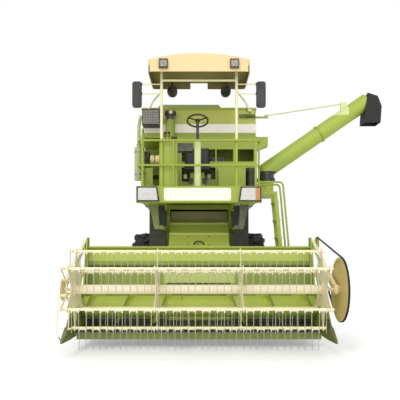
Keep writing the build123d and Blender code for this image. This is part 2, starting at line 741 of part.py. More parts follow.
def radiator_screen():
    """The square screen box above the engine's fan end."""
    x = (-TANK_HALF + 25, -TANK_HALF + 335)
    return block(x, (TANK_FRONT_Y - 260, TANK_FRONT_Y - SEAT), (TANK_LIP_Z + 200, TANK_LIP_Z + 470))


def exhaust():
    """The silencer and tail pipe on the tank's right side."""
    x, y = -TANK_HALF - EXHAUST_GAP, EXHAUST_Y
    silencer = rod((x, y, 2700), (x, y, 3300), 80)
    tail = pipe([(x, y, 3290), (x, y, 3700), (x, y + 270, 3940)], 32, 90)
    inlet = rod((x, y, 2760), (ENGINE_RIGHT_X - SEAT, y, 2760), 35)
    return joined(silencer, tail, inlet)


def air_cleaner():
    """The air cleaner standing at the front of the tank."""
    x, y = -TANK_HALF + 510, TANK_FRONT_Y - 110
    base, top = TANK_LIP_Z + 10, TANK_LIP_Z + 410
    can = rod((x, y, base), (x, y, top), 80)
    cap = rod((x, y, top - 10), (x, y, top + 50), 100)
    foot = block((x - 40, x + 40), (y, TANK_FRONT_Y - SEAT), (TANK_LIP_Z + SEAT, TANK_LIP_Z + 30))
    return joined(can, cap, foot)


def platform_deck():
    """The driver's deck: a sheet with a folded edge, its fascia board, struts and side hangers."""
    deck = block((-DECK_HALF, DECK_HALF), (DECK_FRONT_Y, DECK_REAR_Y - SEAT), (DECK_Z - DECK_T, DECK_Z))
    deck = deck - block(
        (-DECK_HALF + DECK_EDGE, DECK_HALF - DECK_EDGE), (DECK_FRONT_Y + DECK_EDGE, DECK_REAR_Y - DECK_EDGE),
        (DECK_Z - DECK_T - 1, DECK_Z - DECK_SHEET),
    )
    top, low = DECK_Z + FASCIA_TOP, FASCIA_BOTTOM_Z
    outline = [
        (DECK_FRONT_Y + 1, top), (DECK_FRONT_Y - 8, top), (DECK_FRONT_Y - FASCIA_T, top - 12),
        (DECK_FRONT_Y - FASCIA_T, low + 20), (DECK_FRONT_Y - 8, low), (DECK_FRONT_Y + 1, low),
    ]
    fascia = side_shape(outline, -DECK_HALF, DECK_HALF)
    struts, hangers = [], []
    for side in (-1, 1):
        x = side * STRUT_X
        struts.append(bar((x, DECK_FRONT_Y + 60, DECK_Z - 28), (x, BODY_FRONT_Y - 30, 2060), 50, 50))
        # A tapered box under the deck's edge, with a rail back to the body's front
        low_z = FRONT_TYRE_R * 2 + HANGER_OVER_TYRE
        wide = Pos(side * (STRUT_X + 200), HANGER_Y, DECK_Z - DECK_T + 1) * Rectangle(170, 150)
        narrow = Pos(side * (STRUT_X + 110), HANGER_Y, low_z) * Rectangle(80, 80)
        rail_x = side * (STRUT_X + 40)
        rail_ends = sorted((side * (STRUT_X + 10), side * (STRUT_X + 110)))
        rail = block(rail_ends, (HANGER_Y - 30, HANGER_Y + 30), (low_z, low_z + 60))
        rear = block(sorted((rail_x - 25, rail_x + 25)), (HANGER_Y, BODY_FRONT_Y - SEAT), (low_z, low_z + 50))
        hangers.append(joined(loft([narrow, wide], ruled=True), rail, rear))
    return joined(deck, fascia, *struts, *hangers)


def headlights():
    """The two headlights on the fascia's ends: a slanted bezel round a recessed glass."""
    lamps = []
    back = DECK_FRONT_Y - FASCIA_T - SEAT
    for side in (-1, 1):
        outer_x, top_x, low_x = side * (DECK_HALF - 12), side * (DECK_HALF - 330), side * (DECK_HALF - 365)
        low, high = FASCIA_BOTTOM_Z + 22, DECK_Z + 6
        outline = [(outer_x, low), (outer_x, high), (top_x, high), (low_x, low)]
        body = extrude(Plane.XZ.offset(-back) * make_face(Polyline(*outline, close=True)), LAMP_DEPTH)
        b = LAMP_BEZEL
        glass = [
            (outer_x - side * b, low + b), (outer_x - side * b, high - b), (top_x + side * b, high - b),
            (low_x + side * 1.3 * b, low + b),
        ]
        glass_face = make_face(Polyline(*glass, close=True))
        recess = extrude(Plane.XZ.offset(-back + LAMP_DEPTH - 8) * glass_face, 10)
        lamps.append(body - recess)
    return loose(*lamps)


def railing():
    """The guard rail round the front of the deck, with its posts and the tall hand post."""
    y = DECK_FRONT_Y + 25
    x = DECK_HALF - RAIL_R - 5
    rails = []
    for z in (RAIL_TOP_Z, RAIL_MID_Z):
        points = [(-x, DECK_REAR_Y - SEAT, z), (-x, y, z), (x, y, z), (x, y + 200, z)]
        rails.append(pipe(points, RAIL_R, 60))
    foot = DECK_Z + SEAT
    post_places = [(-x + 70, y), (-0.42 * x, y), (x - 70, y), (x, y + 185)]
    posts = [rod((px, py, foot), (px, py, RAIL_TOP_Z), RAIL_R - 1) for px, py in post_places]
    front, rear = DECK_REAR_Y - 260, DECK_REAR_Y - 60
    tall_points = [(-x, front, foot), (-x, front, HAND_POST_Z), (-x, rear, HAND_POST_Z), (-x, rear, foot)]
    tall = pipe(tall_points, RAIL_R - 2, 70)
    return joined(*rails, *posts, tall)


def canopy_posts():
    """The two front posts that carry the canopy, with the bar between them."""
    y = DECK_FRONT_Y + 25 + RAIL_R + POST_R + SEAT
    top = CANOPY_SKIRT_Z + CANOPY_DEPTH
    posts = [rod((x, y, DECK_Z + SEAT), (x, y, top), POST_R) for x in (-POST_X, POST_X)]
    cross = rod((-POST_X, y, UNDER_CANOPY_Z), (POST_X, y, UNDER_CANOPY_Z), POST_R - 4)
    return joined(*posts, cross)


def canopy_stays():
    """The bent tubes that brace the canopy's rear from the tank."""
    stays = []
    for side in (-1, 1):
        top = CANOPY_SKIRT_Z + CANOPY_DEPTH
        low_x, bend_x, top_x = side * (TANK_HALF - 110), side * (CANOPY_HALF + 15), side * (CANOPY_HALF - 145)
        foot_z = TANK_TOP_Z - 70
        y = CANOPY_REAR_Y - 60
        points = [
            (low_x, TANK_FRONT_Y - 60, foot_z), (bend_x, TANK_FRONT_Y - 80, UNDER_CANOPY_Z - 30),
            (top_x, y, UNDER_CANOPY_Z), (top_x, y, top),
        ]
        foot_y = (TANK_FRONT_Y - 90, TANK_FRONT_Y - SEAT)
        foot = block((low_x - 30, low_x + 30), foot_y, (foot_z - 15, foot_z + 20))
        stays.append(joined(pipe(points, STAY_TUBE_R, 50), foot))
    return loose(*stays)


def canopy():
    """The canopy: a crowned roof with rounded corners and a deep skirt, hollow underneath."""
    outer = Polyline(
        (-CANOPY_HALF, CANOPY_EDGE_Z), (-CANOPY_HALF, CANOPY_SKIRT_Z),
        (CANOPY_HALF, CANOPY_SKIRT_Z), (CANOPY_HALF, CANOPY_EDGE_Z),
    )
    crown = ThreePointArc((CANOPY_HALF, CANOPY_EDGE_Z), (0, CANOPY_CROWN_Z), (-CANOPY_HALF, CANOPY_EDGE_Z))
    face = Plane.XZ.offset(-CANOPY_REAR_Y) * make_face(outer + crown)
    roof = extrude(face, CANOPY_REAR_Y - CANOPY_FRONT_Y)
    roof = fillet(roof.edges().filter_by(Axis.Z), CANOPY_CORNER)
    hollow = block(
        (-CANOPY_HALF + CANOPY_WALL, CANOPY_HALF - CANOPY_WALL),
        (CANOPY_FRONT_Y + CANOPY_WALL, CANOPY_REAR_Y - CANOPY_WALL),
        (CANOPY_SKIRT_Z - 10, CANOPY_SKIRT_Z + CANOPY_DEPTH + SEAT),
    )
    hollow = fillet(hollow.edges().filter_by(Axis.Z), CANOPY_CORNER - CANOPY_WALL)
    notch = block(
        (-CANOPY_NOTCH, CANOPY_NOTCH), (CANOPY_REAR_Y - 2 * CANOPY_WALL, CANOPY_REAR_Y + 10),
        (CANOPY_SKIRT_Z - 10, CANOPY_SKIRT_Z + CANOPY_DEPTH),
    )
    lip = block(
        (-CANOPY_HALF + CANOPY_CORNER, CANOPY_HALF - CANOPY_CORNER), (CANOPY_FRONT_Y - 6, CANOPY_FRONT_Y + 1),
        (CANOPY_SKIRT_Z, CANOPY_SKIRT_Z + 16),
    )
    return joined(roof - hollow - notch, lip)


def canopy_lamps():
    """Two square lamps on the canopy's front and two round ones hung under its rear."""
    y = CANOPY_FRONT_Y - SEAT
    square = both_sides(block(SQUARE_LAMP_X, (y - 40, y), (CANOPY_SKIRT_Z + 45, CANOPY_EDGE_Z - 5)))
    top = CANOPY_SKIRT_Z + CANOPY_DEPTH
    x, middle = ROUND_LAMP_X, CANOPY_REAR_Y - 70
    hangers = both_sides(joined(
        rod((x, middle - 40, UNDER_CANOPY_Z), (x, middle + 40, UNDER_CANOPY_Z), ROUND_LAMP_R),
        rod((x, middle, UNDER_CANOPY_Z), (x, middle, top), 12),
    ))
    return loose(*square, *hangers)


def mirrors():
    """The tall mirrors, their backs rounded, on arms from the canopy posts."""
    y = DECK_FRONT_Y + 25 + RAIL_R + POST_R + SEAT
    pieces = []
    for side in (-1, 1):
        inner = side * (POST_X + POST_R + SEAT)
        heights = (CANOPY_SKIRT_Z - 270, CANOPY_SKIRT_Z - 120)
        arms = [rod((inner, y, z), (side * MIRROR_X, y, z), 9) for z in heights]
        plate = fillet(Rectangle(MIRROR_W, MIRROR_H).vertices(), 40)
        plane = Plane.XZ.offset(-y - 14) * Pos(side * MIRROR_X, CANOPY_SKIRT_Z - 285)
        pieces.append(joined(*arms, extrude(plane * plate, 34)))
    return loose(*pieces)


def console():
    """The control console, with the instrument box between it and the steering column."""
    y = (DECK_FRONT_Y + 100, DECK_FRONT_Y + 350)
    outline = [
        (y[0], DECK_Z + SEAT), (y[0], CONSOLE_TOP_Z), (y[1], CONSOLE_TOP_Z), (y[1] + 40, CONSOLE_TOP_Z - 120),
        (y[1], DECK_Z + SEAT),
    ]
    tower = side_shape(outline, *CONSOLE_X)
    box_x = (CONSOLE_X[1] - 1, COLUMN_X - 73)
    instruments = block(box_x, (y[0] + 20, y[1] - 60), (CONSOLE_TOP_Z - 140, CONSOLE_TOP_Z - 15))
    return joined(tower, instruments)


def levers():
    """Four control levers with round knobs on the console."""
    y = DECK_FRONT_Y + 220
    pieces = []
    # x, height
    for x, height in ((-540, 190), (-480, 190), (-425, 110), (-375, 110)):
        stick = rod((x, y, CONSOLE_TOP_Z + SEAT), (x, y, CONSOLE_TOP_Z + height - 20), 8)
        pieces.append(joined(stick, Pos(x, y, CONSOLE_TOP_Z + height - 20) * Sphere(24)))
    return loose(*pieces)


def steering():
    """The steering column with its tilted wheel of three spokes."""
    y = DECK_FRONT_Y + 180
    foot = block((COLUMN_X - 53, COLUMN_X + 52), (y - 60, y + 60), (DECK_Z + SEAT, CONSOLE_TOP_Z + 20))
    foot = fillet(foot.edges().filter_by(Axis.Z), 25)
    centre = (COLUMN_X, y + 66, WHEEL_Z)
    stem = rod((COLUMN_X, y, CONSOLE_TOP_Z), centre, 22)
    place = Pos(*centre) * Rot(-22, 0, 0)
    ring = place * Torus(WHEEL_R, 14)
    spokes = []
    for angle in (90, 210, 330):
        spokes.append(place * Rot(0, 0, angle) * Pos(WHEEL_R / 2, 0, 0) * Box(WHEEL_R, 22, 8))
    return joined(foot, stem, ring, *spokes, place * Cylinder(38, 30))


def seat_base():
    """The seat's pedestal on the deck."""
    return block((SEAT_X - 120, SEAT_X + 120), (DECK_REAR_Y - 250, DECK_REAR_Y - 40), (DECK_Z + SEAT, SEAT_Z))


def seat_cushion():
    """The seat's cushion, with rounded edges."""
    y = (DECK_REAR_Y - 390, DECK_REAR_Y - 30)
    cushion = block((SEAT_X - 230, SEAT_X + 230), y, (SEAT_Z + SEAT, SEAT_Z + 100))
    return fillet(cushion.edges(), 35)


def seat_back():
    """The seat's back, with rounded edges."""
    y = (DECK_REAR_Y - 110, DECK_REAR_Y - 25)
    back = block((SEAT_X - 220, SEAT_X + 220), y, (SEAT_Z + 100 + SEAT, SEAT_Z + 440))
    return fillet(back.edges(), 30)


def tool_box():
    """The battery box on the deck."""
    x = (DECK_HALF - 650, DECK_HALF - 190)
    return block(x, (DECK_REAR_Y - 250, DECK_REAR_Y - SEAT), (DECK_Z + SEAT, DECK_Z + 430))


def oil_can():
    """The round reservoir beside the battery box."""
    x, y = DECK_HALF - 95, DECK_REAR_Y - 100
    return rod((x, y, DECK_Z + SEAT), (x, y, DECK_Z + 430), 80)


def ladder():
    """The ladder up to the deck on the machine's left, with its bent hand rails."""
    y_front, y_rear = LADDER_Y
    foot, head = (DECK_HALF + 440, LADDER_FOOT_Z), (DECK_HALF + 270, DECK_Z - 20)
    pieces = []
    for y in (y_front, y_rear):
        pieces.append(bar((foot[0], y, foot[1]), (head[0], y, head[1]), 60, 25))
    for k in range(LADDER_STEPS):
        share = (k + 0.4) / LADDER_STEPS
        x = foot[0] + (head[0] - foot[0]) * share
        z = foot[1] + (head[1] - foot[1]) * share
        pieces.append(block((x - 45, x + 45), (y_front, y_rear), (z - 12, z + 12)))
    for y in (y_front, y_rear):
        pieces.append(block((DECK_HALF + SEAT, head[0] + 20), (y - 20, y + 20), (DECK_Z - 60, DECK_Z - 20)))
        rail = [
            (DECK_HALF + SEAT, y, DECK_Z + 135), (DECK_HALF + 395, y, DECK_Z + 135), (foot[0] + 50, y, 1500),
            (foot[0] - 30, y, 1180),
        ]
        foot_block = block((DECK_HALF + SEAT, DECK_HALF + 12), (y - 20, y + 20), (DECK_Z - 60, DECK_Z + 155))
        pieces += [pipe(rail, RAIL_R - 1, 70), foot_block]
    return joined(*pieces)


def fuel_tank():
    """The fuel tank on the body's right side, with its two straps and filler."""
    x = (FUEL_X, -BODY_HALF - SEAT)
    box = fillet(block(x, FUEL_Y, FUEL_Z).edges().filter_by(Axis.Y), 90)
    straps = []
    for y in (FUEL_Y[0] + 170, FUEL_Y[1] - 170):
        strap = block((x[0] - 4, x[1]), (y - 25, y + 25), (FUEL_Z[0] - 4, FUEL_Z[1] + 4))
        straps.append(fillet(strap.edges().filter_by(Axis.Y), 90))
    mid_x, mid_y, top = (x[0] + x[1]) / 2, (FUEL_Y[0] + FUEL_Y[1]) / 2, FUEL_Z[1]
    return joined(box, *straps, rod((mid_x, mid_y, top - 10), (mid_x, mid_y, top + 50), 45))


def grain_elevator():
    """The clean grain elevator on the right side's ribs, from the shoe up to the tank."""
    x = (-BODY_HALF - 170, -BODY_HALF - RIB_R - SEAT)
    (front, rear), low, high = ELEVATOR_Y, ELEVATOR_LOW_Z, BODY_ROOF_Z
    outline = [(front, low), (rear, low), (rear - ELEVATOR_LEAN, high), (front - ELEVATOR_LEAN, high)]
    middle, round_r = (front + rear) / 2, (rear - front) / 2 - 2
    boot = disc(*x, middle, low, round_r)
    head = disc(*x, middle - ELEVATOR_LEAN, high, round_r + 1)
    return joined(side_shape(outline, *x), boot, head)


def side_drives():
    """The belt drives on the body's sides: grooved pulleys, their shafts and belts."""
    drives = []
    low = BODY_HALF + 40
    high = low + PULLEY_W
    for side, *wheels in BELT_DRIVES:
        pieces = []
        for y, z, radius in wheels:
            groove = radius - 14
            wheel = turned([
                (low, 20), (low, radius), (low + 8, radius), (low + 16, groove), (high - 16, groove),
                (high - 8, radius), (high, radius), (high, 20),
            ], y, z)
            for k in range(5):
                angle = radians(72 * k + 18)
                at_y, at_z = y + 0.55 * radius * cos(angle), z + 0.55 * radius * sin(angle)
                wheel = wheel - disc(low - 1, high + 1, at_y, at_z, 0.2 * radius)
            pieces += [wheel, disc(BODY_HALF + SEAT, high + 15, y, z, 26)]
        circles = [(y, z, radius - 14) for y, z, radius in wheels]
        drive = joined(*pieces, belt_loop((low + high) / 2, circles, PULLEY_W - 34, 12))
        drives.append(drive if side > 0 else mirror(drive, about=Plane.YZ))
    return loose(*drives)


def drawbar():
    """The towing plate under the rear axle, with its pin hole."""
    start = REAR_AXLE_Y + 90 + SEAT
    low, high = DRAWBAR_Z
    plate = block((-DRAWBAR_HALF, DRAWBAR_HALF), (start, DRAWBAR_Y + 50), (low, high))
    hanger = block((-DRAWBAR_HALF, DRAWBAR_HALF), (start, start + 30), (low, FRAME_LOW_Z + 20))
    hole = rod((0, DRAWBAR_Y, low - 10), (0, DRAWBAR_Y, high + 10), DRAWBAR_PIN_R)
    return joined(plate, hanger) - hole


def along_tube(distance):
    """A point on the unloading tube's middle line, from its elbow's ball."""
    return (TURRET_X + distance * cos(RISE), TURRET_Y, TURRET_Z + 170 + distance * sin(RISE))


TUBE_START = along_tube(0)
TUBE_END = along_tube(UNLOADER_LENGTH)


def unloader_turret():
    """The fixed lower elbow of the unloading auger, from the tank's side, with its clamp ring."""
    stub = disc(TANK_HALF + SEAT, TURRET_X, TURRET_Y, TURRET_Z - 200, 130)
    upright = rod((TURRET_X, TURRET_Y, TURRET_Z - 330), (TURRET_X, TURRET_Y, TURRET_Z), 135)
    clamp = rod((TURRET_X, TURRET_Y, TURRET_Z - CLAMP_H), (TURRET_X, TURRET_Y, TURRET_Z), CLAMP_R)
    lug_z = (TURRET_Z - CLAMP_H, TURRET_Z - 10)
    lug = block((TANK_HALF + SEAT, TURRET_X), (TURRET_Y - 30, TURRET_Y + 30), lug_z)
    return joined(stub, upright, clamp, lug)


def stay_bracket():
    """The bracket on the tank's top edge for the unloading auger's stay."""
    z = STAY_Z
    plate = block((TANK_HALF + SEAT, TURRET_X + 35), (TURRET_Y - 35, TURRET_Y + 35), (z - 45, z - 25))
    web = block((TANK_HALF + SEAT, TANK_HALF + 20), (TURRET_Y - 35, TURRET_Y + 35), (z - 160, z - 25))
    pin = rod((TURRET_X, TURRET_Y, z - 30), (TURRET_X, TURRET_Y, z + 20), 13)
    return joined(plate, web, pin)


def unloader_tube():
    """The swinging tube of the unloading auger, with its elbow, swivel flange and pipe joint."""
    elbow = rod((TURRET_X, TURRET_Y, TURRET_Z + RUN), (TURRET_X, TURRET_Y, TURRET_Z + 170), UNLOADER_R)
    ball = Pos(*TUBE_START) * Sphere(UNLOADER_R)
    flange = rod((TURRET_X, TURRET_Y, TURRET_Z + RUN), (TURRET_X, TURRET_Y, TURRET_Z + RUN + 20), CLAMP_R)
    inner_r = UNLOADER_R - TUBE_WALL
    inside = joined(
        rod((TURRET_X, TURRET_Y, TURRET_Z), (TURRET_X, TURRET_Y, TURRET_Z + 170), inner_r),
        Pos(*TUBE_START) * Sphere(inner_r), rod(TUBE_START, along_tube(UNLOADER_LENGTH + 10), inner_r),
    )
    joints = []
    for distance in (0.52 * UNLOADER_LENGTH, 0.52 * UNLOADER_LENGTH + 16):
        joints.append(rod(along_tube(distance), along_tube(distance + 12), UNLOADER_R + 14))
    return joined(elbow, ball, flange, rod(TUBE_START, TUBE_END, UNLOADER_R), *joints) - inside


def unloader_spout():
    """The rubber spout that hangs from the tube's end, open below."""
    x, y, z = TUBE_END
    shape = [
        (x - 20, z + 120), (x + 160, z + 60), (x + 230, z - 120), (x + 210, z - 420),
        (x - 80, z - 420), (x - 60, z - 130),
    ]
    wall = SPOUT_WALL
    opening = [
        (x - 10, z + 120 - 2 * wall), (x + 150, z + 60 - wall), (x + 230 - wall, z - 120),
        (x + 210 - wall, z - 430), (x - 80 + wall, z - 430), (x - 60 + wall, z - 130),
    ]
    body = extrude(Plane.XZ.offset(-y - 150) * make_face(Polyline(*shape, close=True)), 300)
    opening_face = make_face(Polyline(*opening, close=True))
    hollow = extrude(Plane.XZ.offset(-y - 150 + wall) * opening_face, 300 - 2 * wall)
    return body - hollow - rod(TUBE_START, along_tube(UNLOADER_LENGTH + 60), UNLOADER_R + SEAT)


def unloader_stay():
    """The flat stay that holds the tube up from the tank's corner."""
    eye = (TURRET_X, TURRET_Y, STAY_Z)
    reach = 1420
    far_x = TURRET_X + reach
    far_z = TUBE_START[2] + reach * sin(RISE) / cos(RISE) + UNLOADER_R / cos(RISE)
    ring = rod((eye[0], eye[1], STAY_Z - 12), (eye[0], eye[1], STAY_Z + 12), 32)
    ring = ring - rod((eye[0], eye[1], STAY_Z - 20), (eye[0], eye[1], STAY_Z + 20), 13.5)
    strap = bar((eye[0] + 25, eye[1], STAY_Z), (far_x, eye[1], far_z + 70), 40, 14)
    foot = block((far_x - 60, far_x + 40), (eye[1] - 30, eye[1] + 30), (far_z - 60, far_z + 90))
    foot = foot - rod(TUBE_START, TUBE_END, UNLOADER_R + SEAT)
    return joined(ring, strap, foot)


def feeder_house():
    """The feeder house: a sloping ribbed box between the header and the body, open at both ends."""
    end = FEEDER_PIVOT_Y + 60
    top = [(HEADER_REAR_Y + SEAT, 1000), (-420, 1960), (end, 1960)]
    bottom = [(end, 1480), (-420, 1290), (HEADER_REAR_Y + SEAT, 290)]
    shell = side_shape(top + bottom, -FEEDER_HALF, FEEDER_HALF)
    inner_top = [(HEADER_REAR_Y - 10, 940), (-430, 1950), (end + 10, 1950)]
    inner_bottom = [(end + 10, 1500), (-420, 1300), (HEADER_REAR_Y - 10, 300)]
    hollow = side_shape(inner_top + inner_bottom, -FEEDER_HALF + WALL_T, FEEDER_HALF - WALL_T)
    ribs = []
    for y in FEEDER_RIB_Y:
        share = (y - HEADER_REAR_Y) / (-420 - HEADER_REAR_Y)
        z = 1000 + 960 * share
        ribs.append(block((-FEEDER_HALF - 1, FEEDER_HALF + 1), (y - 14, y + 14), (z - 40, z + 22)))
    ears = []
    for x in (-LIFT_X, LIFT_X):
        for low in (x - LIFT_EYE_HALF - 11, x + LIFT_EYE_HALF + 1):
            ears.append(block((low, low + 10), (LIFT_EYE_Y - 40, LIFT_EYE_Y + 40), (LIFT_EYE_Z - 35, 660)))
    reach = BODY_HALF - BODY_WALL - SEAT
    shaft = disc(-reach, reach, FEEDER_PIVOT_Y, FEEDER_PIVOT_Z, FEEDER_SHAFT_R)
    return joined(shell - hollow, *[piece - hollow for piece in ears + ribs], shaft)


def header_trough():
    """The header's rear wall, ribbed table and cross beams, with the mouth to the feeder."""
    rear = HEADER_REAR_Y
    outline = [
        (rear, HEADER_TOP_Z), (rear - 60, HEADER_TOP_Z), (rear - 60, HEADER_TOP_Z - 25),
        (rear - WALL_T, HEADER_TOP_Z - 60), (rear - WALL_T, 420), (rear - 140, TROUGH_Z + 15),
        (DRUM_Y, TROUGH_Z), (DRUM_Y - 200, TROUGH_Z + 8), (KNIFE_Y, KNIFE_Z), (KNIFE_Y, SKIRT_Z),
        (KNIFE_Y + 40, HEADER_FLOOR_Z), (rear - 60, HEADER_FLOOR_Z), (rear, HEADER_FLOOR_Z + 60),
    ]
    inside = HEADER_HALF - SIDE_T
    trough = side_shape(outline, -inside, inside)
    below = SKIRT_Z - 10
    front = KNIFE_Y + 2 * WALL_T
    under = [
        (rear - WALL_T, 400), (rear - WALL_T, below), (front, below), (front, KNIFE_Z - WALL_T),
        (DRUM_Y - 200, TROUGH_Z + 8 - WALL_T), (DRUM_Y, TROUGH_Z - WALL_T),
        (rear - 142, TROUGH_Z + 15 - WALL_T),
    ]
    bay = (2 * inside + RIB_T) / RIB_BAYS
    for k in range(RIB_BAYS):
        low = -inside + k * bay
        trough = trough - side_shape(under, low, low + bay - RIB_T)
    mouth = block(
        (-FEEDER_HALF + WALL_T, FEEDER_HALF - WALL_T), (rear - 150, rear + 10), (TROUGH_Z + 30, MOUTH_TOP_Z),
    )
    beam = block((-inside, inside), (rear, rear + 90), (1100, 1220))
    # The rib across the wall's front and the plate above the mouth
    rib_outline = [(rear - 5, 1240), (rear - 30, 1215), (rear - 30, 1160), (rear - 5, 1135)]
    rib = side_shape(rib_outline, -inside, inside)
    plate = block((-FEEDER_HALF - 40, FEEDER_HALF + 60), (rear - WALL_T - 5, rear - 5), (MOUTH_TOP_Z, 1045))
    return joined(trough - mouth, beam, rib, plate)


def divider(side):
    """A crop divider: a snout that tapers to its tip ahead of the end plate."""
    sections = []
    # y, middle x, width, low z, high z
    for y, x, width, low, high in (
        (KNIFE_Y - 120, HEADER_HALF - 5, 90, HEADER_FLOOR_Z + 5, 400),
        (KNIFE_Y - 450, HEADER_HALF, 76, HEADER_FLOOR_Z + 2, 350),
        (DIVIDER_TIP_Y, HEADER_HALF - 10, 24, HEADER_FLOOR_Z + 10, 235),
    ):
        plane = Plane.XZ.offset(-y) * Pos(side * x, (low + high) / 2)
        sections.append(plane * Rectangle(width, high - low))
    return loft(sections, ruled=True)


def header_sides():
    """The header's end plates with their dividers, the reel arms' pins and the small pulley."""
    outline = [
        (ARM_PIVOT_Y + 60, ARM_PIVOT_Z + 90), (ARM_PIVOT_Y - 60, ARM_PIVOT_Z + 90),
        (HEADER_REAR_Y - 120, HEADER_TOP_Z), (HEADER_REAR_Y - 330, 900), (REEL_Y + 200, 560),
        (DIVIDER_TIP_Y + 250, 330), (DIVIDER_TIP_Y + 250, HEADER_FLOOR_Z + 10),
        (HEADER_REAR_Y + 30, HEADER_FLOOR_Z), (HEADER_REAR_Y + 90, 400),
    ]
    inner, outer = HEADER_HALF - SIDE_T + SEAT, HEADER_HALF
    plate = side_shape(outline, inner, outer)
    cylinder_pin = disc(outer - 5, ARM_X + REEL_EYE_HALF + 8, REEL_CYL_BASE_Y, REEL_CYL_BASE_Z, CYL_PIN_R)
    arm_end = ARM_X + ARM_W / 2
    right_pin = disc(outer - 5, arm_end + 10, ARM_PIVOT_Y, ARM_PIVOT_Z, ARM_PIVOT_R)
    left_pin = disc(outer - 5, REEL_PULLEY_X + 25, ARM_PIVOT_Y, ARM_PIVOT_Z, ARM_PIVOT_R)
    half = REEL_PULLEY_W / 2
    low, high = REEL_PULLEY_X - half, REEL_PULLEY_X + half
    pulley = disc(low, high, ARM_PIVOT_Y, ARM_PIVOT_Z, SMALL_PULLEY_R)
    rod_x = -HEADER_HALF - 90
    crop_rod = pipe([
        (-HEADER_HALF, DIVIDER_TIP_Y + 60, 225), (rod_x, DIVIDER_TIP_Y + 140, 300),
        (rod_x, DIVIDER_TIP_Y + 240, 780), (rod_x, REEL_Y + 400, 780), (-HEADER_HALF + 10, KNIFE_Y, 560),
    ], 8, 40)
    left = joined(plate, cylinder_pin, left_pin, pulley, divider(1))
    right = joined(mirror(joined(plate, cylinder_pin, right_pin), about=Plane.YZ), divider(-1), crop_rod)
    return loose(left, right)


def cutter_bar():
    """The knife guards: one pointed finger at each pitch on a bar across the header."""
    inside = HEADER_HALF - SIDE_T - 5
    bar_front = KNIFE_Y - SEAT
    pieces = [block((-inside, inside), (bar_front - 20, bar_front), (KNIFE_Z - 22, KNIFE_Z))]
    count = int(2 * inside / GUARD_PITCH)
    for k in range(count):
        x = (k - (count - 1) / 2) * GUARD_PITCH
        outline = [
            (x - 15, bar_front - 15), (x + 15, bar_front - 15), (x + 11, bar_front - 50),
            (x, bar_front - GUARD_LENGTH), (x - 11, bar_front - 50),
        ]
        face = Plane.XY.offset(KNIFE_Z - 20) * make_face(Polyline(*outline, close=True))
        pieces.append(extrude(face, 16))
    return joined(*pieces)


def header_auger():
    """The header's cross auger: a drum, a left and a right flight, and fingers between them."""
    inside = HEADER_HALF - SIDE_T - RUN
    drum = disc(-inside, inside, DRUM_Y, DRUM_Z, DRUM_R, DRUM_R - DRUM_WALL)
    hole_ring = (DRUM_R - DRUM_WALL + 25) / 2
    caps = []
    for low in (-inside, -3, inside - SHEET):
        cap = disc(low, low + SHEET, DRUM_Y, DRUM_Z, DRUM_R - 1)
        for k in range(4):
            angle = radians(90 * k + 45)
            y, z = DRUM_Y + hole_ring * cos(angle), DRUM_Z + hole_ring * sin(angle)
            cap = cap - disc(low - 1, low + SHEET + 1, y, z, 35)
        caps.append(cap)
    shaft_end = HEADER_HALF - SIDE_T
    shaft = disc(-shaft_end, shaft_end, DRUM_Y, DRUM_Z, 25)
    length = inside - 20 - FLIGHT_INNER_X
    steps = ceil(length / FLIGHT_PITCH * 16)
    sections = []
    for n in range(steps + 1):
        share = n / steps
        place = Pos(FLIGHT_INNER_X + length * share, DRUM_Y, DRUM_Z)
        turn = Rot(360 * length * share / FLIGHT_PITCH, 0, 0)
        middle = (DRUM_R - 10 + FLIGHT_R) / 2
        blade = Plane.XZ * Pos(0, middle) * Rectangle(FLIGHT_T, FLIGHT_R - DRUM_R + 10)
        sections.append(place * turn * blade)
    flight = loft(sections, ruled=True)
    fingers = []
    for n in range(8):
        x = -350 + 100 * n
        angle = radians(45 * n * 3)
        reach = FLIGHT_R - 10
        tip = (x, DRUM_Y + reach * cos(angle), DRUM_Z + reach * sin(angle))
        fingers.append(rod((x, DRUM_Y, DRUM_Z), tip, 8))
    return joined(drum, *caps, shaft, flight, mirror(flight, about=Plane.YZ), *fingers)


def spider(x):
    """A reel spider: a star plate with a bearing for each bat at its tips, and a hub."""
    outline = []
    tip_r = REEL_R - BAT_R
    half_step = radians(180 / BAT_COUNT)
    for angle in BAT_ANGLES:
        valley = angle - half_step
        outline.append((REEL_Y + STAR_VALLEY_R * cos(valley), REEL_Z + STAR_VALLEY_R * sin(valley)))
        lean = atan2(STAR_TIP_HALF, tip_r)
        for at in (angle - lean, angle + lean):
            outline.append((REEL_Y + tip_r * cos(at), REEL_Z + tip_r * sin(at)))
    plate = side_shape(outline, x - SPIDER_T / 2, x + SPIDER_T / 2)
    eyes = [disc(x - EYE_T / 2, x + EYE_T / 2, y, z, BAT_R + 20) for y, z in BAT_PLACES]
    hub = disc(x - EYE_T, x + EYE_T, REEL_Y, REEL_Z, REEL_TUBE_R + 26)
    return joined(plate, *eyes, hub)


def reel_frame():
    """The reel's tube with its four star-shaped spiders."""
    end = REEL_HALF - 20
    frame = disc(-end, end, REEL_Y, REEL_Z, REEL_TUBE_R)
    frame = joined(frame, *[spider(x) for x in (-REEL_HALF + 40, -SPIDER_X, SPIDER_X, REEL_HALF - 40)])
    frame = frame - disc(-end + 8, end - 8, REEL_Y, REEL_Z, REEL_TUBE_R - REEL_TUBE_WALL)
    frame = frame - disc(-end - 1, end + 1, REEL_Y, REEL_Z, REEL_SHAFT_R / 2)
    for y, z in BAT_PLACES:
        frame = frame - disc(-REEL_HALF - 1, REEL_HALF + 1, y, z, BAT_R + SEAT)
    return frame


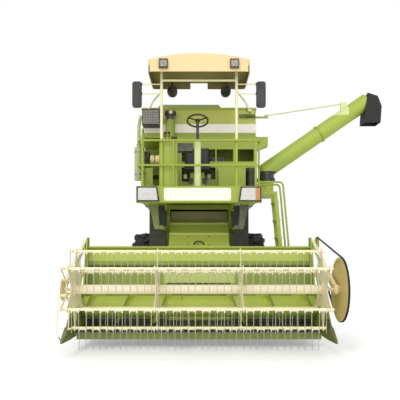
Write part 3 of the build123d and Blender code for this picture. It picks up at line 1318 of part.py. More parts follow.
def reel_shaft():
    """The reel's two stub shafts, the left one with the large drive pulley."""
    stub_start = REEL_HALF - 20 + SEAT
    right = disc(-ARM_X - ARM_W / 2 - 15, -stub_start, REEL_Y, REEL_Z, REEL_SHAFT_R)
    left = disc(stub_start, REEL_PULLEY_X + 30, REEL_Y, REEL_Z, REEL_SHAFT_R)
    half = REEL_PULLEY_W / 2
    low, high = REEL_PULLEY_X - half, REEL_PULLEY_X + half
    rim_ring = disc(low, high, REEL_Y, REEL_Z, REEL_PULLEY_R, REEL_PULLEY_R - 40)
    web = disc(REEL_PULLEY_X - 4, REEL_PULLEY_X + 4, REEL_Y, REEL_Z, REEL_PULLEY_R - 30)
    for k in range(6):
        angle = radians(60 * k + 30)
        y, z = REEL_Y + 240 * cos(angle), REEL_Z + 240 * sin(angle)
        web = web - disc(REEL_PULLEY_X - 10, REEL_PULLEY_X + 10, y, z, 90)
    hub = disc(REEL_PULLEY_X - 30, REEL_PULLEY_X + 30, REEL_Y, REEL_Z, 55)
    return loose(right, joined(left, rim_ring, web, hub))


def reel_bat(y, z):
    """A reel bat: its tube, the spring tine pairs that hang from it, and the crank at its end."""
    tube = disc(-REEL_HALF, REEL_HALF, y, z, BAT_R)
    pieces = []
    pitch = (2 * REEL_HALF - 100) / TINE_PAIRS
    for k in range(TINE_PAIRS):
        x = (k - (TINE_PAIRS - 1) / 2) * pitch
        half = TINE_GAP / 2
        pieces.append(block((x - half, x + half), (y - BAT_R - 4, y + BAT_R + 4), (z - BAT_R - 8, z - 4)))
        for leg in (x - half, x + half):
            pieces.append(block(
                (leg - TINE_T / 2, leg + TINE_T / 2), (y - TINE_T / 2, y + TINE_T / 2),
                (z - TINE_LENGTH, z - BAT_R),
            ))
    crank = side_shape(
        [(y + 14, z - 14), (y + 14, z + 14), (y - CRANK_ARM - 12, z + 12), (y - CRANK_ARM - 12, z - 12)],
        -REEL_HALF - 8, -REEL_HALF,
    )
    pin = disc(-REEL_HALF - 40, -REEL_HALF - 4, y - CRANK_ARM, z, CRANK_PIN_R)
    return joined(tube, *pieces, crank, pin)


def reel_eccentric():
    """The eccentric spider that holds every bat's crank, so that the tines stay upright."""
    x = (-REEL_HALF - 32, -REEL_HALF - 24)
    pieces = [disc(*x, RING_Y, REEL_Z, RING_R + 30)]
    for y, z in BAT_PLACES:
        dy, dz = y - REEL_Y, z - REEL_Z
        pieces.append(bar(
            (x[0] / 2 + x[1] / 2, RING_Y + dy * RING_R / REEL_R, REEL_Z + dz * RING_R / REEL_R),
            (x[0] / 2 + x[1] / 2, RING_Y + dy, REEL_Z + dz), x[1] - x[0], 40,
        ))
        pieces.append(disc(*x, RING_Y + dy, REEL_Z + dz, 26))
    star = joined(*pieces) - disc(x[0] - 5, x[1] + 5, RING_Y, REEL_Z, RING_R)
    for y, z in BAT_PLACES:
        star = star - disc(x[0] - 5, x[1] + 5, y - CRANK_ARM, z, CRANK_PIN_R + 0.1)
    return star


def reel_arms():
    """The two reel arms from the header's rear wall to the reel shaft's bearings."""
    arms = []
    for side in (-1, 1):
        x = side * ARM_X
        beam = bar((x, ARM_PIVOT_Y, ARM_PIVOT_Z), (x, REEL_Y, REEL_Z), ARM_W, 90)
        low, high = x - ARM_W / 2, x + ARM_W / 2
        ends = [disc(low, high, ARM_PIVOT_Y, ARM_PIVOT_Z, 60), disc(low, high, REEL_Y, REEL_Z, 70)]
        arm = joined(beam, *ends)
        arm = arm - disc(low - 5, high + 5, ARM_PIVOT_Y, ARM_PIVOT_Z, ARM_PIVOT_R + 0.05)
        arm = arm - disc(low - 5, high + 5, REEL_Y, REEL_Z, REEL_SHAFT_R + 0.05)
        eye_y = ARM_PIVOT_Y - REEL_CYL_EYE_ALONG * cos(ARM_FALL)
        eye_z = ARM_PIVOT_Z - REEL_CYL_EYE_ALONG * sin(ARM_FALL)
        ears = []
        for low in (x - REEL_EYE_HALF - 9, x + REEL_EYE_HALF + 1):
            ears.append(block((low, low + 8), (eye_y - 26, eye_y + 26), (eye_z - REEL_EYE_DROP - 26, eye_z)))
        arms.append(joined(arm, *ears))
    rollers = []
    for k in range(3):
        angle = radians(90 + 120 * k)
        y = RING_Y + (RING_R - 20.5) * cos(angle)
        z = REEL_Z + (RING_R - 20.5) * sin(angle)
        rollers.append(disc(-ARM_X + ARM_W / 2 - 1, -REEL_HALF - 20, y, z, 20))
    plate = disc(-ARM_X + ARM_W / 2 - 12, -ARM_X + ARM_W / 2 - 1, RING_Y, REEL_Z, RING_R)
    plate = plate - disc(-ARM_X - 10, -REEL_HALF, REEL_Y, REEL_Z, REEL_SHAFT_R + 8)
    return loose(joined(arms[0], plate, *rollers), arms[1])


def belt_side(x, circles, width, extra):
    """A tapered slab round two circles, each (y, z, radius), grown by an extra radius."""
    (y0, z0, r0), (y1, z1, r1) = circles
    span = hypot(y1 - y0, z1 - z0)
    lean = atan2(z1 - z0, y1 - y0)
    tip = atan2(sqrt(span**2 - (r0 - r1) ** 2), r0 - r1)
    touch = []
    for angle in (lean + tip, lean - tip):
        for y, z, r in circles:
            touch.append((y + (r + extra) * cos(angle), z + (r + extra) * sin(angle)))
    low, high = x - width / 2, x + width / 2
    straight = side_shape([touch[0], touch[1], touch[3], touch[2]], low, high)
    rounds = [disc(low, high, y, z, r + extra) for y, z, r in circles]
    return joined(straight, *rounds)


def belt_loop(x, circles, width, thickness):
    """An open belt round two pulleys, each given as (y, z, radius)."""
    return belt_side(x, circles, width, thickness) - belt_side(x, circles, width + 2, 0)


def reel_belt():
    """The reel's drive belt, from the large pulley to the small one at the arm's pivot."""
    large = (REEL_Y, REEL_Z, REEL_PULLEY_R + SEAT)
    small = (ARM_PIVOT_Y, ARM_PIVOT_Z, SMALL_PULLEY_R + SEAT)
    return belt_loop(REEL_PULLEY_X, [large, small], REEL_PULLEY_W - 8, 12)


def cylinder_pair(x, base, eye, barrel_r, rod_r, barrel_share, eye_half):
    """A pair of cylinders: their barrels and their rods, each from a base pin to an eye."""
    length = hypot(eye[0] - base[0], eye[1] - base[1])
    mouth = length * barrel_share
    barrels, rods = [], []
    for at in (-x, x):
        start = Vector(at, *base)
        along = (Vector(at, *eye) - start) / length
        low, high = at - eye_half, at + eye_half
        tube = rod(start + along * 48, start + along * mouth, barrel_r)
        neck = bar(start, start + along * 60, 2 * eye_half, 40)
        barrel = joined(tube, neck, disc(low, high, *base, 30))
        barrel = barrel - rod(start + along * 80, start + along * (mouth + 5), rod_r + SEAT)
        barrels.append(barrel - disc(low - 5, high + 5, *base, CYL_PIN_R + 0.05))
        stem = rod(start + along * (mouth * 0.55), start + along * (length - 20), rod_r)
        head = disc(low, high, *eye, 28)
        rods.append(joined(stem, head) - disc(low - 5, high + 5, *eye, CYL_PIN_R + 0.4))
    return loose(*barrels), loose(*rods)


REEL_EYE = (
    ARM_PIVOT_Y - REEL_CYL_EYE_ALONG * cos(ARM_FALL),
    ARM_PIVOT_Z - REEL_CYL_EYE_ALONG * sin(ARM_FALL) - REEL_EYE_DROP,
)

front_tyre = joined(
    tyre(FRONT_TYRE_R, FRONT_TYRE_W, FRONT_RIM_R, LUG_DEPTH, FRONT_SIDES), *lugs(FRONT_TYRE_R, FRONT_TYRE_W),
)
rear_tyre = joined(
    tyre(REAR_TYRE_R, REAR_TYRE_W, REAR_RIM_R, REAR_TREAD, REAR_SIDES), *tread_ribs(REAR_TYRE_R, REAR_TYRE_W),
)
parts = {}
for label, side in (("left", 1), ("right", -1)):
    front_place = Pos(side * FRONT_WHEEL_X, 0, 0)
    rear_place = Pos(side * REAR_WHEEL_X, REAR_AXLE_Y, 0)
    parts[f"front_tyre_{label}"] = front_place * front_tyre
    front_rim = rim(FRONT_TYRE_R, FRONT_RIM_R, FRONT_TYRE_W, FRONT_HUB_R, side)
    parts[f"front_rim_{label}"] = front_place * front_rim
    parts[f"rear_tyre_{label}"] = rear_place * rear_tyre
    parts[f"rear_rim_{label}"] = rear_place * rim(REAR_TYRE_R, REAR_RIM_R, REAR_TYRE_W, REAR_HUB_R, side)
    parts[f"knuckle_{label}"] = knuckle(side)
for piece in (
    front_axle, rear_axle, tie_rod, separator_body, straw_hood, straw_walkers, sieve_shoe, engine_bay,
    exhaust, platform_deck, railing, canopy, mirrors, ladder, fuel_tank, grain_elevator, side_drives,
    unloader_spout, feeder_house, header_trough, header_sides, cutter_bar, header_auger, reel_frame,
    reel_shaft, reel_eccentric, reel_arms, reel_belt,
):
    parts[piece.__name__] = piece()
# Pieces that share a node, each with the others of its kind on the same body
for name, pieces in (
    ("main_frame", (main_frame, drawbar)),
    ("grain_tank", (grain_tank, tank_cover)),
    ("engine", (engine, engine_pulleys, engine_radiator)),
    ("air_intakes", (radiator_screen, air_cleaner)),
    ("lamps", (headlights, canopy_lamps)),
    ("canopy_frame", (canopy_posts, canopy_stays)),
    ("controls", (console, levers, steering)),
    ("seat", (seat_cushion, seat_back)),
    ("deck_boxes", (seat_base, tool_box, oil_can)),
    ("unloader_turret", (unloader_turret, stay_bracket)),
    ("unloader_tube", (unloader_tube, unloader_stay)),
):
    parts[name] = loose(*[piece() for piece in pieces])
bat = reel_bat(REEL_Y, REEL_Z)
for k, (y, z) in enumerate(BAT_PLACES, start=1):
    parts[f"reel_bat_{k}"] = Pos(0, y - REEL_Y, z - REEL_Z) * bat
parts["lift_barrels"], parts["lift_rods"] = cylinder_pair(
    LIFT_X, (LIFT_BASE_Y, LIFT_BASE_Z), (LIFT_EYE_Y, LIFT_EYE_Z), LIFT_BARREL_R, LIFT_ROD_R, 0.75,
    LIFT_EYE_HALF,
)
parts["reel_barrels"], parts["reel_rods"] = cylinder_pair(
    ARM_X, (REEL_CYL_BASE_Y, REEL_CYL_BASE_Z), REEL_EYE, REEL_CYL_BARREL_R, REEL_CYL_ROD_R, 0.72,
    REEL_EYE_HALF,
)

# The kept origin is on the ground below the middle of the machine's overall box.
whole = Compound([shape for part in parts.values() for shape in part.solids()]).bounding_box()
ORIGIN = Vector((whole.min.X + whole.max.X) / 2, (whole.min.Y + whole.max.Y) / 2, whole.min.Z)
for name, shape in parts.items():
    export_step(Pos(-ORIGIN.X, -ORIGIN.Y, -ORIGIN.Z) * shape, f"parts/{name}.step")
print("overall size", whole.size, "origin", ORIGIN)
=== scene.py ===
# %% [markdown]
# A combine harvester seen from straight ahead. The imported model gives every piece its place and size, and
# this file dresses it: paints, rubber, steel and glass, and the small forms that the solids leave plain.
# Everything is in metres. The front is at -Y, up is +Z and the machine's left side, with its unloading
# auger, is at +X.

# %% Load the frame
import json
from math import atan2, cos, pi, radians, sin

import bmesh
import bpy
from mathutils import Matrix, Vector


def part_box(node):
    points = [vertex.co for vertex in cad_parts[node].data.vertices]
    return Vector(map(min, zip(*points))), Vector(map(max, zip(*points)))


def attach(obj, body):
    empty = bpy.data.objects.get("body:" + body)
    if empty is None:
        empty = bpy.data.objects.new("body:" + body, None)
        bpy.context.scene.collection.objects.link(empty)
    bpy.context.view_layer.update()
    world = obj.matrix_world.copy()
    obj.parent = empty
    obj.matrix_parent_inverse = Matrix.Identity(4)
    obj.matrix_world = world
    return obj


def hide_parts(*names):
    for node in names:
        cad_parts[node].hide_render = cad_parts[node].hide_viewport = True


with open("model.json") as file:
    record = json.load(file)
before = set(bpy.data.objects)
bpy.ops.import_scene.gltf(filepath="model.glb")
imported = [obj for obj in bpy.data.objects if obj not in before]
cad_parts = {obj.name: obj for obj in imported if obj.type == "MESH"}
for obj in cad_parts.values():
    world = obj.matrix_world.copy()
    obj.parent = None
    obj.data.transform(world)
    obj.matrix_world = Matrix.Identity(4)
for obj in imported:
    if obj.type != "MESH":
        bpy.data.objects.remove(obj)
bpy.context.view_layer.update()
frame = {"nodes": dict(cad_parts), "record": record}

# %% [markdown]
# The machine's middle and its front axle are the two places that everything else is measured from. The two
# front tyres give both: the middle is halfway between them, and the axle is at the middle of their length.
# One function turns a workshop measure in millimetres, taken from those two and the ground, into a place in
# the scene.

# %% Reference places
LEFT_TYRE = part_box("front_tyre_left")
RIGHT_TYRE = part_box("front_tyre_right")
X, Y, Z = Vector((1, 0, 0)), Vector((0, 1, 0)), Vector((0, 0, 1))
SIDES = ((1, "left"), (-1, "right"))
MID_X = (LEFT_TYRE[0][0] + RIGHT_TYRE[1][0]) / 2
AXLE_Y = (LEFT_TYRE[0][1] + LEFT_TYRE[1][1]) / 2


def at(x, y, z):
    """A place in metres from millimetres left of the middle, behind the front axle and above the ground."""
    return Vector((MID_X + x / 1000, AXLE_Y + y / 1000, z / 1000))


print("middle", round(MID_X, 4), "axle", round(AXLE_Y, 4))

# %% [markdown]
# Upright edges stay upright in the photograph, so the camera was level and its picture was shifted up to
# take in the canopy. A level camera with a vertical shift gives the same picture: the horizon falls below
# the middle of the frame.

# %% Camera
FRAME_PX = 400
FOCAL_PX = 526
HORIZON_PX = 250
MIDDLE_PX = 199
SENSOR_MM = 36
CAMERA_TO_AXLE = 9920
CAMERA_HEIGHT = 1420

camera_data = bpy.data.cameras.new("camera")
camera_data.sensor_width = SENSOR_MM
camera_data.lens = FOCAL_PX / FRAME_PX * SENSOR_MM
camera_data.shift_x = (FRAME_PX / 2 - MIDDLE_PX) / FRAME_PX
camera_data.shift_y = (HORIZON_PX - FRAME_PX / 2) / FRAME_PX
camera = bpy.data.objects.new("camera", camera_data)
camera.location = at(0, -CAMERA_TO_AXLE, CAMERA_HEIGHT)
camera.rotation_euler = (radians(90), 0, 0)
bpy.context.collection.objects.link(camera)
bpy.context.scene.camera = camera
print("lens", camera_data.lens)

# %% [markdown]
# Colours are written as the sRGB hex values that a paint chart gives, and Blender mixes light in linear
# values, so one function turns the first into the second. One more adds a node, sets it and links it: a
# socket among its inputs becomes a link and anything else a value. The rest name the steps that every
# material here is made of: a noise of some scale, two colours blended by a share, a value spread over a new
# range, and a bump from a height.

# %% Colour and node helpers
def srgb(hex_colour):
    """The linear RGBA of an sRGB hex colour."""
    channels = [int(hex_colour[k:k + 2], 16) / 255 for k in (1, 3, 5)]
    linear = [c / 12.92 if c <= 0.04045 else ((c + 0.055) / 1.055) ** 2.4 for c in channels]
    return (*linear, 1)


def add(tree, kind, inputs=None, **settings):
    """A new node of a kind, with its settings and its inputs set or linked."""
    made = tree.nodes.new(kind)
    for name, value in settings.items():
        setattr(made, name, value)
    for socket, value in (inputs or {}).items():
        if isinstance(value, bpy.types.NodeSocket):
            tree.links.new(value, made.inputs[socket])
        else:
            made.inputs[socket].default_value = value
    return made


def noise(tree, place, scale, detail):
    """A cloudy value, with a scale in clouds per metre."""
    return add(tree, "ShaderNodeTexNoise", {"Vector": place, "Scale": scale, "Detail": detail}).outputs["Fac"]


def blend(tree, share, first, second):
    """Two colours blended by a share, each a hex colour or a socket."""
    ends = [srgb(colour) if isinstance(colour, str) else colour for colour in (first, second)]
    inputs = {"Factor": share, "A": ends[0], "B": ends[1]}
    return add(tree, "ShaderNodeMix", inputs, data_type="RGBA").outputs["Result"]


def spread(tree, value, low, high, start=0.0, end=1.0):
    """A value between a start and an end, spread from low to high."""
    inputs = {"Value": value, "From Min": start, "From Max": end, "To Min": low, "To Max": high}
    return add(tree, "ShaderNodeMapRange", inputs).outputs["Result"]


def compute(tree, operation, first, second=0.0):
    """One arithmetic operation on two values."""
    return add(tree, "ShaderNodeMath", {0: first, 1: second}, operation=operation).outputs[0]


def bump(tree, height, strength, distance):
    """The normal of a surface with small heights on it."""
    inputs = {"Height": height, "Strength": strength, "Distance": distance}
    return add(tree, "ShaderNodeBump", inputs).outputs["Normal"]


def new_material(name, **settings):
    """A node material with its shader and output, its plain settings, and the object's own coordinates."""
    material = bpy.data.materials.new(name)
    material.use_nodes = True
    tree = material.node_tree
    tree.nodes.clear()
    shader = add(tree, "ShaderNodeBsdfPrincipled", settings)
    add(tree, "ShaderNodeOutputMaterial", {"Surface": shader.outputs["BSDF"]})
    coords = add(tree, "ShaderNodeTexCoord")
    return material, tree, shader, coords.outputs["Object"]


def feed(tree, shader, **inputs):
    """Links colour, roughness and normal, whichever are given, to a shader."""
    for name, socket in inputs.items():
        tree.links.new(socket, shader.inputs["Base Color" if name == "colour" else name.capitalize()])


# %% [markdown]
# A real machine paints some of one solid's faces in another colour: a fan pulley is cream on a black
# engine. The solids come as one mesh each, so a material finds such a patch by its place. This mask is 1
# between two corners and 0 elsewhere, and a corner's side that is None stays open.

# %% Masks by place
OPEN = (None, None, None)


def inside(tree, place, low, high):
    """1 where a place lies between two corners, each given in millimetres, and 0 elsewhere."""
    split = add(tree, "ShaderNodeSeparateXYZ", {"Vector": place})
    share = None
    for corner, operation in ((low, "GREATER_THAN"), (high, "LESS_THAN")):
        for axis, offset, bound in zip("XYZ", (MID_X, AXLE_Y, 0), corner):
            if bound is not None:
                test = compute(tree, operation, split.outputs[axis], bound / 1000 + offset)
                share = test if share is None else compute(tree, "MULTIPLY", share, test)
    return share


def beyond(tree, place, y, z, radius):
    """1 farther than a radius from a line along X at a Y and Z, all in millimetres, and 0 nearer."""
    axis = at(0, y, z)
    flat = add(tree, "ShaderNodeVectorMath", {0: place, 1: (0, 1, 1)}, operation="MULTIPLY")
    inputs = {0: flat.outputs["Vector"], 1: (0, axis.y, axis.z)}
    reach = add(tree, "ShaderNodeVectorMath", inputs, operation="DISTANCE")
    return compute(tree, "GREATER_THAN", reach.outputs["Value"], radius / 1000)


# %% [markdown]
# Most of the machine is sheet steel sprayed with alkyd enamel. Sprayed enamel dries with a fine orange
# peel, its colour drifts a little from panel to panel, and field dust lies on it in soft clouds. Three
# noises at three real sizes give these: 1.2 m clouds for the tone, 90 mm blotches for dust, and 2.5 mm
# ripples for the peel, drawn a little coarser than the real millimetre so that it shows. Patches of a
# second paint, or of painted light and shade, are mixed in by their masks.

# %% Enamel
CLOUD_SIZE = 1.2
DUST_SIZE = 0.09
PEEL_SIZE = 0.0025


def enamel(name, colour, shade, dust="#B9AE86", dust_share=0.15, roughness=0.36, patches=()):
    """Sprayed enamel: a colour, a drifting tone, patches of other paint or painted light and shade, thin dust
    and orange peel.

    A patch is a colour, a mask's function and its arguments."""
    material, tree, shader, place = new_material(name, IOR=1.5)
    tone = blend(tree, noise(tree, place, 1 / CLOUD_SIZE, 3.0), colour, shade)
    for patch_colour, mask, *where in patches:
        tone = blend(tree, mask(tree, place, *where), tone, patch_colour)
    blotch = noise(tree, place, 1 / DUST_SIZE, 5.0)
    dusty = blend(tree, spread(tree, blotch, 0, dust_share, 0.42, 0.75), tone, dust)
    rough = spread(tree, blotch, roughness - 0.06, roughness + 0.2)
    peel = bump(tree, noise(tree, place, 1 / PEEL_SIZE, 1.0), 0.08, PEEL_SIZE * 0.2)
    feed(tree, shader, colour=dusty, roughness=rough, normal=peel)
    return material


GREEN_PAINT = "#A5B435"
GREEN_TONE = "#94A32E"
CREAM_PAINT = "#F2DFAA"
PALE_PAINT = "#F3EDBE"
PALE_TONE = "#EDE5B0"
BLACK_PAINT = "#23231F"
BLACK_TONE = "#1A1A18"
REEL_PAINT = "#F6EDCB"
REEL_TONE = "#F0E2B6"
GREEN = enamel("green alkyd enamel", GREEN_PAINT, GREEN_TONE)
DARK_GREEN = enamel("dark green alkyd enamel", "#6B7F2C", "#5C6E26", dust_share=0.2)
CREAM = enamel("cream alkyd enamel", CREAM_PAINT, "#EAD49A", dust_share=0.08)
PALE = enamel("pale cream enamel", PALE_PAINT, PALE_TONE, dust_share=0.08)
REEL_CREAM = enamel("reel enamel", REEL_PAINT, REEL_TONE, dust_share=0.08)
BLACK = enamel("black satin enamel", BLACK_PAINT, BLACK_TONE, dust_share=0.2, roughness=0.45)
# Painted shade: the splash plates' dark, muddied paint darkens the gap under the deck.
SPLASH_SHADE = enamel("muddied black shade enamel", "#3A3D30", "#2B2D26", dust="#5E6238", dust_share=0.4, roughness=0.6)
print("enamels", [m.name for m in (GREEN, DARK_GREEN, CREAM, PALE, REEL_CREAM, BLACK, SPLASH_SHADE)])

# %% [markdown]
# Tyres, belts and mats are moulded vulcanised rubber with carbon black. The black is never quite black
# outdoors: dust greys the hollows, and the surface scatters what little light it returns. The grain is 3
# mm, coarser than the real skin's so that it shows.

# %% Rubber
def rubber(name, colour, dust, dust_share, roughness=0.78):
    """Moulded rubber: dark and rough, greyed by dust."""
    material, tree, shader, place = new_material(name, Roughness=roughness, IOR=1.52)
    share = spread(tree, noise(tree, place, 14.0, 6.0), 0, dust_share, 0.4, 0.8)
    grain = bump(tree, noise(tree, place, 350.0, 2.0), 0.2, 0.0008)
    feed(tree, shader, colour=blend(tree, share, colour, dust), normal=grain)
    return material


TYRE = rubber("tyre rubber", "#1E1E22", "#6E675A", 0.3)
RUBBER = rubber("black moulded rubber", "#161616", "#3A3936", 0.2)
SPOUT = rubber("rubberised canvas", "#232420", "#3B3D34", 0.3)
print("rubbers", [m.name for m in (TYRE, RUBBER, SPOUT)])

# %% [markdown]
# The seat is covered in embossed vinyl. Its leather grain is a net of fine creases between small raised
# cells about 2 mm across, which a Voronoi pattern's distance to its edges gives, and it shines a little
# more than rubber.

# %% Seat vinyl
VINYL, tree, shader, place = new_material("embossed vinyl", Roughness=0.46, IOR=1.54)
shader.inputs["Specular IOR Level"].default_value = 0.45
worn = blend(tree, noise(tree, place, 9.0, 4.0), "#1D1E20", "#2C2B2A")
cells = add(tree, "ShaderNodeTexVoronoi", {"Vector": place, "Scale": 480.0}, feature="DISTANCE_TO_EDGE")
feed(tree, shader, colour=worn, normal=bump(tree, cells.outputs["Distance"], 0.35, 0.0006))
print("vinyl ready")

# %% [markdown]
# Spring tines, cylinder rods and bolts are bare steel. Bare steel is a metal, so its colour sits in the
# reflection itself, and handling leaves it between bright and dull. The walkers and the cleaning shoe are
# galvanised: zinc freezes on the sheet in flat crystals about 15 mm across, each a slightly different grey.

# %% Bare metals
def metal(name, colour, roughness, stain, metallic=1.0):
    """Bare metal, a little duller and darker in blotches."""
    material, tree, shader, place = new_material(name, Metallic=metallic)
    blotch = noise(tree, place, 30.0, 4.0)
    rough = spread(tree, blotch, roughness - 0.1, roughness + 0.15)
    feed(tree, shader, colour=blend(tree, blotch, colour, stain), roughness=rough)
    return material


STEEL = metal("drawn spring steel", "#B4B2AC", 0.4, "#8F8C86")
CAST = metal("worn dark iron", "#5A5752", 0.55, "#45413C")
CHROME = metal("hard chromed steel", "#D8DADC", 0.16, "#D8DADC")
REFLECTOR = metal("aluminised reflector", "#FFFFFF", 0.35, "#F2EEE6", metallic=0.1)
DULL_REFLECTOR = metal("smoked reflector", "#8B8276", 0.35, "#6F675C")

GALVANISED, tree, shader, place = new_material("hot-dip galvanised steel", Metallic=1.0)
crystals = add(tree, "ShaderNodeTexVoronoi", {"Vector": place, "Scale": 66.0}).outputs["Color"]
greys = blend(tree, crystals, "#8E9193", "#B3B6B7")
feed(tree, shader, colour=greys, roughness=spread(tree, crystals, 0.38, 0.6))
print("metals", [m.name for m in (STEEL, CAST, CHROME, REFLECTOR, DULL_REFLECTOR, GALVANISED)])

# %% [markdown]
# Lamp glass is pressed with upright flutes about 8 mm wide that spread the beam. A wave pattern across X
# makes their bump on clear glass, and the amber and red ones are the same glass with a dye in it. The
# mirrors are silvered glass: a metal with almost no roughness, and a faint film of dust that a noise lays
# on it.

# %% Glass and mirror
def lamp_glass(name, colour):
    """Clear pressed glass with upright flutes."""
    material, tree, shader, place = new_material(name, Roughness=0.06, IOR=1.52)
    shader.inputs["Transmission Weight"].default_value = 0.95
    shader.inputs["Base Color"].default_value = srgb(colour)
    flutes = add(tree, "ShaderNodeTexWave", {"Vector": place, "Scale": 20.0}, bands_direction="X")
    feed(tree, shader, normal=bump(tree, flutes.outputs["Fac"], 0.4, 0.003))
    return material


CLEAR_GLASS = lamp_glass("fluted lamp glass", "#FFFEFC")
AMBER_GLASS = lamp_glass("amber lamp glass", "#FBCB8C")
RED_GLASS = lamp_glass("red lamp glass", "#B3241C")

MIRROR, tree, shader, place = new_material("silvered mirror glass", Metallic=1.0)
shader.inputs["Base Color"].default_value = srgb("#DDE2E2")
feed(tree, shader, roughness=spread(tree, noise(tree, place, 12.0, 3.0), 0.02, 0.12))
print("glass ready")

# %% [markdown]
# The tines' clips are small white nylon mouldings, and so are the needles and ticks of the gauges. Nylon is
# milky: a little light goes under its skin and comes out again.

# %% Nylon
NYLON, tree, shader, place = new_material("white moulded nylon", Roughness=0.42, IOR=1.53)
shader.inputs["Subsurface Weight"].default_value = 0.1
shader.inputs["Subsurface Scale"].default_value = 0.002
feed(tree, shader, colour=blend(tree, noise(tree, place, 60.0, 3.0), "#FBF9EE", "#DDD8C2"))
print("nylon ready")

# %% [markdown]
# Some solids are painted in two or more colours. Each patch is given by the place of the part that it
# covers: the black mirror housings, knobs and wheel, the pale steering column, the fan's cream pulleys, the
# belts in their grooves, and the swivel band under the unloading tube. Other patches are painted light and
# shade: the canopy's olive inside is darkened as painted shade, the header's rear wall is painted darker
# below and brighter above with a painted shadow under its rib, its worn floor under the auger is painted
# shade, the feeder house is painted shade at its top and painted light at its front, the tank's front above
# the stripe is painted light against the canopy's shadow, and the deck's sheets beside the feeder are
# painted shade. The header's skirt and the auger's flight edges are painted darker. Each of these is one
# enamel with its patches, kept by the node that wears it.

# %% Enamel with patches
CONSOLE_TOP = 3129
MIRROR_INNER = 897
BELT_BAND = (677, 703)
REEL_Y, REEL_Z = -2840, 890
AUGER_Y, AUGER_Z = -1860, 560


def on_green(name, *patches):
    """The machine's green enamel with patches of other paint or of painted light and shade."""
    return enamel(name, GREEN_PAINT, GREEN_TONE, patches=patches)


def on_black(name, roughness, *patches):
    """The black satin enamel with patches of other paint."""
    return enamel(name, BLACK_PAINT, BLACK_TONE, dust_share=0.2, roughness=roughness, patches=patches)


